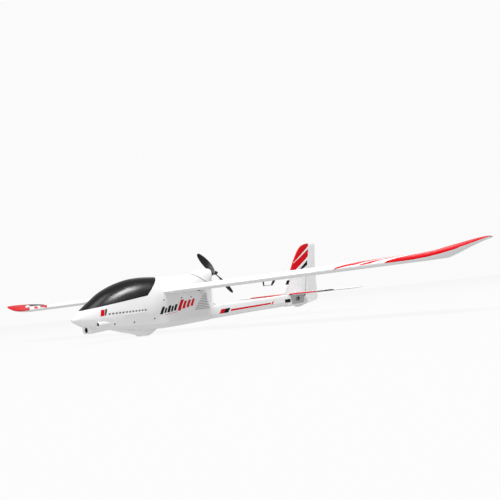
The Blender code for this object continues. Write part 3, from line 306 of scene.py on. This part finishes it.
shell = Finish("glossy_white_shell", SHELL_WHITE, 0.34, specular=0.10)
station = shell.y - NOSE
height = shell.z
flank = abs(shell.x) > 0.0100
mottle = shell.noise(9.0, 3.0)
shell.paint((0.73, 0.73, 0.74), mottle.ramp(0.45, 0.75) * 0.5)

# hatch side: a red bar and a black bar, then a row of small grey dashes
for corners, colour in (
        ([(0.0690, 0.0715), (0.0812, 0.0728), (0.0852, 0.0905), (0.0738, 0.0898)], DECAL_RED),
        ([(0.0822, 0.0728), (0.0866, 0.0731), (0.0930, 0.0914), (0.0870, 0.0906)], DECAL_BLACK)):
    decal(shell, station, height, corners, colour, flank)
DASH_PITCH = 0.0112
dash = shell.add("ShaderNodeMath", {"operation": "FRACT"}, (station - height * 0.3) / DASH_PITCH)
row = shell.patch(station, height, [(0.0945, 0.0738), (0.2300, 0.0750), (0.2300, 0.0797), (0.0945, 0.0786)])
shell.paint((0.13, 0.13, 0.14), row * (dash > 0.40) * flank)

# pylon side: leaning blocks in black, then in red, over a thin red rule
lean = station - (height - 0.060) * 0.45
for start, wide, low, high, colour in (
        (0.2820, 0.0130, 0.0590, 0.0810, DECAL_BLACK), (0.2990, 0.0090, 0.0620, 0.0765, DECAL_BLACK),
        (0.3120, 0.0120, 0.0625, 0.0830, DECAL_BLACK), (0.3280, 0.0090, 0.0640, 0.0810, DECAL_BLACK),
        (0.3410, 0.0110, 0.0660, 0.0850, DECAL_BLACK), (0.3600, 0.0150, 0.0640, 0.0975, DECAL_RED),
        (0.3800, 0.0130, 0.0690, 0.0930, DECAL_RED), (0.3990, 0.0130, 0.0720, 0.0950, DECAL_RED),
        (0.4180, 0.0130, 0.0750, 0.0970, DECAL_RED)):
    block = (lean > start) * (lean < start + wide) * (height > low) * (height < high)
    shell.paint(colour, block * flank)
rule = shell.patch(station, height, [(0.304, 0.0555), (0.360, 0.0610), (0.360, 0.0622), (0.304, 0.0565)])
shell.paint(DECAL_RED, rule * flank)

# boom side: a leaning red and black block, a long thin stripe, a slash and a square
for corners, colour in (
        ([(0.5660, 0.0385), (0.5890, 0.0390), (0.6010, 0.0535), (0.5800, 0.0532)], DECAL_RED),
        ([(0.5885, 0.0390), (0.6122, 0.0397), (0.6260, 0.0545), (0.6008, 0.0535)], DECAL_BLACK),
        ([(0.6255, 0.0432), (0.8468, 0.0504), (0.8505, 0.0560), (0.6280, 0.0496)], DECAL_RED),
        ([(0.8490, 0.0484), (0.8575, 0.0486), (0.8690, 0.0596), (0.8595, 0.0588)], DECAL_RED),
        ([(0.9343, 0.0490), (0.9600, 0.0492), (0.9600, 0.0620), (0.9343, 0.0618)], DECAL_BLACK)):
    decal(shell, station, height, corners, colour, flank)

# cooling louvres of the pylon: a stack of slots, bumped in, each with a band of painted shade at its upper
# edge
slots = shell.patch(station, height, [(0.4410, 0.0590), (0.5270, 0.0590), (0.5165, 0.1110), (0.4960, 0.1110)])
LOUVRE_PITCH = 0.0053
phase = shell.add("ShaderNodeMath", {"operation": 'FRACT'}, (height - 0.0590) / LOUVRE_PITCH)
slot_groove_and_shade = phase.ramp(0.35, 0.62) * (1.0 - phase.ramp(0.88, 1.0)) * slots * flank
shell.paint((0.30, 0.30, 0.31), slot_groove_and_shade)

# dark seam where the motor cowl meets the shell, and the shade inside the three nose bores
seam = shell.patch(station, height, [(0.4550, 0.1813), (0.4540, 0.1795), (0.5220, 0.1444), (0.5230, 0.1462)])
foot = shell.patch(station, height, [(0.5230, 0.1462), (0.5220, 0.1444), (0.5520, 0.1444), (0.5520, 0.1462)])
seam = seam.either(foot)
shell.paint(SEAM_AND_SHADE_GREY, seam)
beside = abs(shell.x) - 0.0350
above = height - 0.0500
INTAKE_WALL = 0.0054
intake = (beside * beside + above * above < INTAKE_WALL ** 2) * (station < 0.0850) * (station > 0.0610)
middle = height - 0.0375
CHIN_WALL = 0.0077
chin = (shell.x * shell.x + middle * middle < CHIN_WALL ** 2) * (station > 0.0446) * (station < 0.0750)
shell.paint((0.035, 0.035, 0.036), intake.either(chin))
grain = shell.noise(900.0, 2.0)
shell_material = shell.done(roughness=0.26 + mottle * 0.10, bump=grain * 0.10 - slot_groove_and_shade * 1.6,
                            strength=0.30, distance=0.0006)
fuselage = dressed("fuselage", shell_material, sharp=16.0)

# ---------------------------------------------------------------- motor cowl
# Separate moulded cap over the motor, held by two small screws. The tail skid under the
# tail block is moulded in the same white plastic.
cowl = Finish("glossy_white_cowl", SHELL_WHITE, 0.34, specular=0.10)
cowl_mottle = cowl.noise(9.0, 3.0)
cowl.paint((0.73, 0.73, 0.74), cowl_mottle.ramp(0.45, 0.75) * 0.5)
cowl_material = cowl.done(roughness=0.26 + cowl_mottle * 0.10, bump=cowl.noise(900.0, 2.0),
                          strength=0.03, distance=0.0006)
dressed("motor_cowl", cowl_material, sharp=24.0)
dressed("tail_skid", cowl_material, sharp=35.0, width=0.0002)

# ---------------------------------------------------------------- canopy hatch
# Vacuum-formed cover, dyed almost black, smooth with a faint ripple; it turns up about its
# front edge and covers the equipment bay.
canopy = Finish("smoked_canopy_gloss", (0.005, 0.005, 0.006), 0.16, specular=0.13)
haze = canopy.noise(6.0, 2.0)
canopy.paint((0.007, 0.007, 0.008), haze.ramp(0.4, 0.7))
canopy_material = canopy.done(roughness=0.19 + haze * 0.10, bump=canopy.noise(14.0, 1.0),
                              strength=0.10, distance=0.002)
dressed("canopy", canopy_material, sharp=40.0)

# ---------------------------------------------------------------- wing, ailerons
# Moulded from small white foam beads, so the skin has a fine bead pattern under a satin
# surface. The red and black film covers the upper side and wraps round the leading edge.
FOAM_WHITE = (0.77, 0.77, 0.775)
ROOT_LEADING_EDGE = NOSE + 0.302


def foam(name, colour=FOAM_WHITE):
    finish = Finish(name, colour, 0.46, specular=0.06)
    finish.bead = finish.beads(310.0)
    finish.cloud = finish.noise(7.0, 3.0)
    finish.paint((0.72, 0.72, 0.73), finish.cloud.ramp(0.45, 0.8) * 0.45)
    finish.paint((0.66, 0.66, 0.67), (1.0 - finish.bead.ramp(0.0, 0.09)) * 0.16)
    return finish


def foam_done(finish, film=None):
    rough = 0.40 + finish.cloud * 0.14
    height_map = finish.bead.ramp(0.0, 0.12)
    if film is not None:
        rough = rough - film * 0.16
    return finish.done(roughness=rough, bump=height_map, strength=0.12, distance=0.0003)


def wing_finish(name):
    """White foam with the wing's pattern: out along the span, and back from the leading edge."""
    finish = foam(name)
    out = abs(finish.x)
    behind = finish.y - ROOT_LEADING_EDGE - out * 0.032
    up = finish.split(finish.facing)[2]
    top = up > -0.30
    film = None
    for corners, colour in (
            ([(0.640, 0.000), (0.700, 0.006), (0.800, 0.058), (0.790, 0.086), (0.700, 0.036)], DECAL_RED),
            ([(0.790, 0.086), (0.800, 0.058), (0.880, 0.118), (0.862, 0.150)], DECAL_RED),
            ([(0.705, 0.001), (0.740, 0.003), (0.830, 0.050), (0.815, 0.056), (0.742, 0.018)], DECAL_RED),
            ([(0.775, 0.000), (0.800, -0.020), (1.020, -0.020), (1.020, 0.080), (0.880, 0.062)], DECAL_RED),
            ([(0.880, 0.062), (1.020, 0.060), (1.020, 0.300), (0.935, 0.220)], DECAL_RED),
            ([(0.868, 0.060), (0.925, 0.060), (0.948, 0.128), (0.885, 0.150)], DECAL_BLACK)):
        mask = decal(finish, out, behind, corners, colour, top)
        film = mask if film is None else film.either(mask)
    for corners in ([(0.852, 0.030), (0.905, 0.052), (0.868, 0.060)],
                    [(0.868, 0.064), (0.885, 0.150), (0.874, 0.140)],
                    [(0.880, 0.040), (0.930, 0.076), (0.885, 0.066)]):
        finish.paint(FOAM_WHITE, finish.patch(out, behind, corners) * top)
    return foam_done(finish, film)


wing_material = wing_finish("foam_wing_with_film")
for word in ("port", "starboard"):
    dressed("wing_" + word, wing_material, sharp=45.0)
    dressed("aileron_" + word, wing_material, sharp=30.0)

# ---------------------------------------------------------------- tailplane, elevators
# Same beaded foam as the wing, with a red streak inboard and a thin black mark outboard.
tail_finish = foam("foam_tailplane_with_film")
tail_out = abs(tail_finish.x)
tail_behind = tail_finish.y - (NOSE + 0.965) - tail_out * 0.070
tail_top = tail_finish.split(tail_finish.facing)[2] > -0.90
tail_port = (tail_finish.x > 0.0) * tail_top
tail_starboard = (tail_finish.x < 0.0) * tail_top
for corners, colour, side in (
        ([(0.012, -0.010), (0.118, -0.010), (0.140, 0.002), (0.060, 0.022), (0.012, 0.016)], DECAL_RED,
         tail_port),
        ([(0.130, 0.006), (0.150, -0.010), (0.172, -0.010), (0.158, 0.008)], DECAL_BLACK, tail_port),
        ([(0.160, 0.010), (0.170, -0.010), (0.196, -0.010), (0.205, 0.004), (0.180, 0.018)], DECAL_BLACK,
         tail_port),
        ([(0.012, -0.010), (0.176, -0.010), (0.196, 0.004), (0.090, 0.026), (0.012, 0.018)], DECAL_RED,
         tail_starboard),
        ([(0.090, 0.030), (0.196, 0.010), (0.202, 0.020), (0.150, 0.040)], DECAL_BLACK, tail_starboard)):
    decal(tail_finish, tail_out, tail_behind, corners, colour, side)
tail_material = foam_done(tail_finish)
dressed("stabilizer", tail_material, sharp=40.0)
for word in ("port", "starboard"):
    dressed("elevator_" + word, tail_material, sharp=30.0)

# ---------------------------------------------------------------- fin, rudder, tail block
# Beaded foam; the fin's upper part is red film with a white and a black diagonal, and the
# rudder behind it stays white. The block below plugs into the boom and holds the servos.
fin_finish = foam("foam_fin_with_film")
fin_station = fin_finish.y - NOSE
fin_height = fin_finish.z
for corners, colour in (
        ([(0.940, 0.1640), (1.0008, 0.1640), (1.0270, 0.1660), (1.1400, 0.2280), (1.1600, 0.2900),
          (0.980, 0.2900)], DECAL_RED),
        ([(1.0260, 0.1970), (1.0310, 0.1980), (1.1400, 0.2540), (1.1400, 0.2640)], FOAM_WHITE),
        ([(1.090, 0.2310), (1.1220, 0.2460), (1.1225, 0.2475), (1.090, 0.2318)], FOAM_WHITE),
        ([(1.090, 0.2350), (1.1220, 0.2500), (1.1225, 0.2515), (1.090, 0.2358)], FOAM_WHITE),
        ([(1.0350, 0.1640), (1.0700, 0.1640), (1.1260, 0.1960), (1.1260, 0.2210)], FOAM_WHITE),
        ([(1.0540, 0.1680), (1.0690, 0.1680), (1.1180, 0.1880), (1.1200, 0.2060)], DECAL_BLACK),
        ([(0.9640, 0.1165), (0.9834, 0.1171), (0.9933, 0.1337), (0.9740, 0.1324)], DECAL_BLACK),
        ([(1.0930, 0.1684), (1.1080, 0.1780), (1.1070, 0.1720)], DECAL_RED)):
    decal(fin_finish, fin_station, fin_height, corners, colour)
# a thin grey line along the rudder hinge is painted shade for the gap between fin and rudder
decal(fin_finish, fin_station, fin_height,
      [(1.0834, 0.0845), (1.0855, 0.0845), (1.1085, 0.1640), (1.1064, 0.1640)], SEAM_AND_SHADE_GREY)
dressed("fin", foam_done(fin_finish), sharp=40.0)
plain_foam = foam_done(foam("foam_plain"))
dressed("rudder", plain_foam, sharp=30.0)
block = foam("foam_tail_block")
block_station = block.y - NOSE
decal(block, block_station, block.z,
      [(0.9500, 0.0492), (0.9684, 0.0495), (0.9706, 0.0617), (0.9500, 0.0620)], DECAL_BLACK)
# a mid-grey patch over the servo bay on the block's side is painted shade, where the recessed bay lies in
# shade
decal(block, block_station, block.z,
      [(0.9760, 0.0400), (1.0600, 0.0430), (1.0700, 0.0750), (0.9720, 0.0750)], (0.46, 0.46, 0.47))
dressed("tail_block", foam_done(block), sharp=30.0)

# ---------------------------------------------------------------- propeller
# Two-blade propeller moulded in black nylon, satin, with a fine grain; it is pressed on the
# adapter behind the motor bell and held by a washer and a nut.
prop = Finish("black_nylon", (0.008, 0.008, 0.009), 0.42, specular=0.2)
prop_grain = prop.noise(260.0, 3.0)
prop.paint((0.014, 0.014, 0.015), prop_grain.ramp(0.5, 0.8))
prop_material = prop.done(roughness=0.30 + prop_grain * 0.16, bump=prop_grain, strength=0.05, distance=0.0002)
dressed("propeller", prop_material, sharp=50.0)

# ---------------------------------------------------------------- motor
# Outrunner motor: a machined alloy bell that turns with the propeller, with cooling windows
# round its side, over a copper-wound core on a fixed alloy post. The windows are shallow closed
# insets in near black, painted shade in place of open windows, flecked with copper for the windings.
alloy = Finish("machined_alloy", (0.20, 0.20, 0.21), 0.26, metallic=1.0)
turning = alloy.noise(1.0, 3.0, points=alloy.stretched((40.0, 4200.0, 40.0)))
alloy.paint((0.13, 0.13, 0.14), turning.ramp(0.4, 0.65) * 0.6)
alloy_material = alloy.done(roughness=0.20 + turning * 0.16, bump=turning, strength=0.06, distance=0.0001)
# painted shade for the inside of the bell's windows: near black, with copper flecks
dark = Finish("window_painted_shade", (0.012, 0.011, 0.010), 0.6)
dark.paint((0.10, 0.045, 0.02), dark.noise(700.0, 2.0).ramp(0.5, 0.6) * 0.6)
window_shade_material = dark.done()

bell_low, bell_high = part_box("motor_bell")
bell_middle = (bell_low + bell_high) / 2
bell_radius = (bell_high.x - bell_low.x) / 2
bell_length = bell_high.y - bell_low.y
bm = bmesh.new()
WINDOW_RING = 0.66           # share of the bell's length that carries the windows
bmesh.ops.create_cone(bm, cap_ends=True, segments=36, radius1=bell_radius, radius2=bell_radius,
                      depth=bell_length * WINDOW_RING)
walls = [f for f in bm.faces if abs(f.normal.z) < 0.5]
walls.sort(key=lambda f: math.atan2(f.calc_center_median().y, f.calc_center_median().x))
panes = [f for i, f in enumerate(walls) if i % 3]
bmesh.ops.inset_region(bm, faces=panes, thickness=0.0011, use_even_offset=True)
inner = [f for f in panes if f.is_valid]
for f in inner:
    f.material_index = 1
push = bmesh.ops.extrude_discrete_faces(bm, faces=inner)
for f in push["faces"]:
    f.material_index = 1
    bmesh.ops.translate(bm, vec=f.normal * -0.0011, verts=f.verts)
bmesh.ops.rotate(bm, cent=(0, 0, 0), matrix=Matrix.Rotation(math.radians(90), 3, 'X'), verts=bm.verts)
bmesh.ops.translate(bm, vec=(bell_middle.x, bell_low.y + bell_length * 0.36, bell_middle.z), verts=bm.verts)
cap = bmesh.ops.create_cone(bm, cap_ends=True, segments=36, radius1=bell_radius, radius2=bell_radius * 0.72,
                            depth=bell_length * 0.31)
bmesh.ops.rotate(bm, cent=(0, 0, 0), matrix=Matrix.Rotation(math.radians(-90), 3, 'X'), verts=cap["verts"])
bmesh.ops.translate(bm, vec=(bell_middle.x, bell_high.y - bell_length * 0.155, bell_middle.z),
                    verts=cap["verts"])
bell_mesh = bpy.data.meshes.new("motor_bell_windows")
bm.to_mesh(bell_mesh)
bm.free()
bell_mesh.materials.append(alloy_material)
bell_mesh.materials.append(window_shade_material)
bell_mesh.shade_smooth()
bell_mesh.set_sharp_from_angle(angle=math.radians(30))
bell_piece = bpy.data.objects.new("motor_bell_windows", bell_mesh)
bpy.context.scene.collection.objects.link(bell_piece)
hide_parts("motor_bell")
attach(bell_piece, "rotor")
for node in ("motor_mount", "prop_adapter"):
    dressed(node, alloy_material, sharp=35.0)

copper = Finish("copper_winding", (0.55, 0.22, 0.08), 0.35, metallic=1.0)
winding = copper.noise(1.0, 2.0, points=copper.stretched((900.0, 120.0, 900.0)))
copper.paint((0.30, 0.11, 0.04), winding.ramp(0.4, 0.6))
dressed("motor_stator", copper.done(bump=winding, strength=0.3, distance=0.0003))

# ---------------------------------------------------------------- steel hardware
# Bright drawn steel: the motor shaft, the pushrods, the wire that joins the two elevator
# halves, and the two bolts that hold the tail.
steel = Finish("drawn_steel", (0.56, 0.57, 0.59), 0.28, metallic=1.0)
scratch = steel.noise(1.0, 3.0, points=steel.stretched((1600.0, 120.0, 1600.0)))
steel.paint((0.42, 0.43, 0.45), scratch.ramp(0.45, 0.7) * 0.7)
steel_material = steel.done(roughness=0.22 + scratch * 0.18, bump=scratch, strength=0.05, distance=0.0001)
for node in ("motor_shaft", "aileron_rod_port", "aileron_rod_starboard", "elevator_rod",
             "rudder_rod", "elevator_joiner", "tail_bolt_1", "tail_bolt_2"):
    dressed(node, steel_material, sharp=30.0)

# ---------------------------------------------------------------- black moulded parts
# Arms, horns, the wing screws, the propeller's washer and nut and the electronics cases are black
# injection-moulded plastic with a fine spark-eroded grain.
black = Finish("moulded_black", (0.009, 0.009, 0.010), 0.45, specular=0.2)
pebble = black.noise(1400.0, 3.0)
black.paint((0.018, 0.018, 0.019), pebble.ramp(0.5, 0.75))
black_material = black.done(roughness=0.40 + pebble * 0.16, bump=pebble, strength=0.10, distance=0.0001)
for node in ("speed_controller", "receiver", "fpv_camera", "aileron_arm_port", "aileron_arm_starboard",
             "aileron_horn_port", "aileron_horn_starboard", "elevator_arm", "elevator_horn", "rudder_arm",
             "rudder_horn", "wing_screw_port", "wing_screw_starboard"):
    dressed(node, black_material, sharp=35.0, width=0.0002)
for node in ("prop_washer", "prop_nut"):
    dressed(node, black_material, sharp=30.0)

# ---------------------------------------------------------------- servos
# Micro servos in plain grey plastic cases: one in each wing half for the ailerons, and two
# in the tail block for the elevator and the rudder.
servo = Finish("servo_case_grey", (0.19, 0.19, 0.20), 0.32, specular=0.3)
swirl = servo.noise(240.0, 3.0)
servo.paint((0.26, 0.26, 0.27), swirl.ramp(0.45, 0.75))
servo_material = servo.done(roughness=0.26 + swirl * 0.14, bump=swirl, strength=0.05, distance=0.0002)
for node in ("aileron_servo_port", "aileron_servo_starboard", "elevator_servo", "rudder_servo"):
    dressed(node, servo_material, sharp=35.0, width=0.0003)

# ---------------------------------------------------------------- carbon spar and joiner
# Pultruded carbon tube and rod, with the fibres running along them.
carbon = Finish("pultruded_carbon", (0.020, 0.020, 0.022), 0.30, coat=0.2)
fibre = carbon.noise(1.0, 3.0, points=carbon.stretched((30.0, 3000.0, 3000.0)))
carbon.paint((0.055, 0.055, 0.060), fibre.ramp(0.45, 0.7))
carbon_material = carbon.done(roughness=0.24 + fibre * 0.2, bump=fibre, strength=0.06, distance=0.0001)
for node in ("wing_spar", "wing_joiner"):
    dressed(node, carbon_material, sharp=35.0)

# ---------------------------------------------------------------- battery and tray
# A lithium pack in blue shrink wrap, lying on a plywood tray under the canopy.
wrap = Finish("shrink_wrap", (0.030, 0.060, 0.170), 0.34, coat=0.3)
crease = wrap.noise(1.0, 4.0, points=wrap.stretched((60.0, 240.0, 60.0)))
wrap.paint((0.050, 0.090, 0.22), crease.ramp(0.45, 0.7))
wrap_material = wrap.done(roughness=0.28 + crease * 0.16, bump=crease, strength=0.35, distance=0.0012)
dressed("battery", wrap_material, sharp=50.0)
ply = Finish("birch_plywood", (0.56, 0.39, 0.22), 0.62)
veneer = ply.noise(1.0, 5.0, 0.6, points=ply.stretched((260.0, 9.0, 260.0)))
ply.paint((0.40, 0.25, 0.12), veneer.ramp(0.45, 0.75))
ply_material = ply.done(roughness=0.58 + veneer * 0.15, bump=veneer, strength=0.2, distance=0.0003)
dressed("equipment_tray", ply_material)

# ---------------------------------------------------------------- camera lens
# Domed lens of the small camera behind the hole in the chin.
lens = Finish("coated_lens", (0.010, 0.008, 0.018), 0.04, coat=0.6)
bloom = lens.noise(220.0, 1.0)
lens.paint((0.020, 0.012, 0.050), bloom.ramp(0.4, 0.6))
dressed("camera_lens", lens.done(roughness=0.03 + bloom * 0.04), sharp=60.0)

# ---------------------------------------------------------------- shell screws
# Small black countersunk screws that hold the two shell halves and the pylon cover.
SCREWS = [(0.115, 0.0462), (0.182, 0.0450), (0.259, 0.0490), (0.299, 0.101), (0.380, 0.103), (0.426, 0.104),
          (0.487, 0.1705), (0.520, 0.1465)]
SCREW_RADIUS = 0.0026
for side, word in ((1, "port"), (-1, "starboard")):
    bm = bmesh.new()
    for along, high in SCREWS:
        start = Vector((side * 0.20, NOSE + along, high))
        hit, spot, normal, _ = fuselage.ray_cast(start, Vector((-side, 0, 0)))
        if not hit:
            continue
        head = bmesh.ops.create_cone(bm, cap_ends=True, segments=14, radius1=SCREW_RADIUS,
                                     radius2=SCREW_RADIUS - 0.0005, depth=0.0006)
        caps = [f for f in {f for v in head["verts"] for f in v.link_faces} if f.normal.z > 0.9]
        bmesh.ops.inset_region(bm, faces=caps, thickness=0.0006)
        bmesh.ops.translate(bm, vec=(0, 0, -0.0004), verts=[v for f in caps for v in f.verts])
        verts = list({v for v in bm.verts if v.co.length < 0.01})
        turn = Vector((0, 0, 1)).rotation_difference(normal).to_matrix()
        bmesh.ops.rotate(bm, cent=(0, 0, 0), matrix=turn, verts=verts)
        bmesh.ops.translate(bm, vec=spot + normal * 0.0002, verts=verts)
    mesh = bpy.data.meshes.new("shell_screws_" + word)
    bm.to_mesh(mesh)
    bm.free()
    mesh.materials.append(black_material)
    piece = bpy.data.objects.new("shell_screws_" + word, mesh)
    bpy.context.scene.collection.objects.link(piece)
    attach(piece, "airframe")

# ---------------------------------------------------------------- studio
# White pad and a far white backdrop, with one broad soft light above, ahead and to port, a
# small one that draws the soft streak on the canopy, a weak one from below, and an even surround.
pad = Finish("studio_pad", (0.05, 0.05, 0.05), 0.9, specular=0.0)
pad.paint((0.04, 0.04, 0.04), pad.noise(0.7, 2.0) * 0.3)
pad.shader.inputs["Emission Color"].default_value = (1.0, 1.0, 1.0, 1.0)
pad.shader.inputs["Emission Strength"].default_value = 0.90
pad_material = pad.done()
backdrop = Finish("studio_backdrop", (0.0, 0.0, 0.0), 1.0, specular=0.0)
backdrop.shader.inputs["Emission Color"].default_value = (1.0, 1.0, 1.0, 1.0)
backdrop.shader.inputs["Emission Strength"].default_value = 0.96
backdrop_material = backdrop.done()
for word in ("pad", "backdrop"):
    bm = bmesh.new()
    if word == "pad":
        bmesh.ops.create_grid(bm, x_segments=1, y_segments=1, size=40.0)
        bmesh.ops.translate(bm, vec=(0, 0, -0.0006), verts=bm.verts)
    else:
        bmesh.ops.create_icosphere(bm, subdivisions=3, radius=90.0)
    studio_mesh = bpy.data.meshes.new(word)
    bm.to_mesh(studio_mesh)
    bm.free()
    studio_mesh.materials.append(pad_material if word == "pad" else backdrop_material)
    studio_piece = bpy.data.objects.new(word, studio_mesh)
    bpy.context.scene.collection.objects.link(studio_piece)
    studio_piece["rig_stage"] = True
    studio_piece.visible_diffuse = False
    studio_piece.visible_glossy = False
    studio_piece.visible_transmission = False
    studio_piece.visible_shadow = False

world = bpy.data.worlds.new("surround")
bpy.context.scene.world = world
world.use_nodes = True
world.node_tree.nodes["Background"].inputs["Color"].default_value = (1.0, 1.0, 1.0, 1.0)
world.node_tree.nodes["Background"].inputs["Strength"].default_value = 0.62


def lamp(name, place, aim, power, size):
    data = bpy.data.lights.new(name, 'AREA')
    data.energy = power
    data.shape = 'RECTANGLE'
    data.size, data.size_y = size
    made = bpy.data.objects.new(name, data)
    made.location = place
    made.rotation_euler = (Vector(aim) - Vector(place)).to_track_quat('-Z', 'Y').to_euler()
    bpy.context.scene.collection.objects.link(made)
    return made


lamp("key", (1.8, -1.6, 6.0), (0.0, 0.0, 0.0), 410.0, (4.0, 3.0))
lamp("streak", (1.45, 0.50, 1.90), (0.03, -0.40, 0.12), 110.0, (0.80, 0.45)).visible_diffuse = False
lamp("fill", (2.2, -3.4, -1.6), (0.0, 0.0, 0.1), 46.0, (5.0, 3.0))
lamp("rear", (-1.5, 2.4, 1.6), (0.0, 0.2, 0.1), 8.0, (2.0, 1.2))
bpy.context.scene.view_settings.view_transform = 'Standard'

low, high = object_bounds()
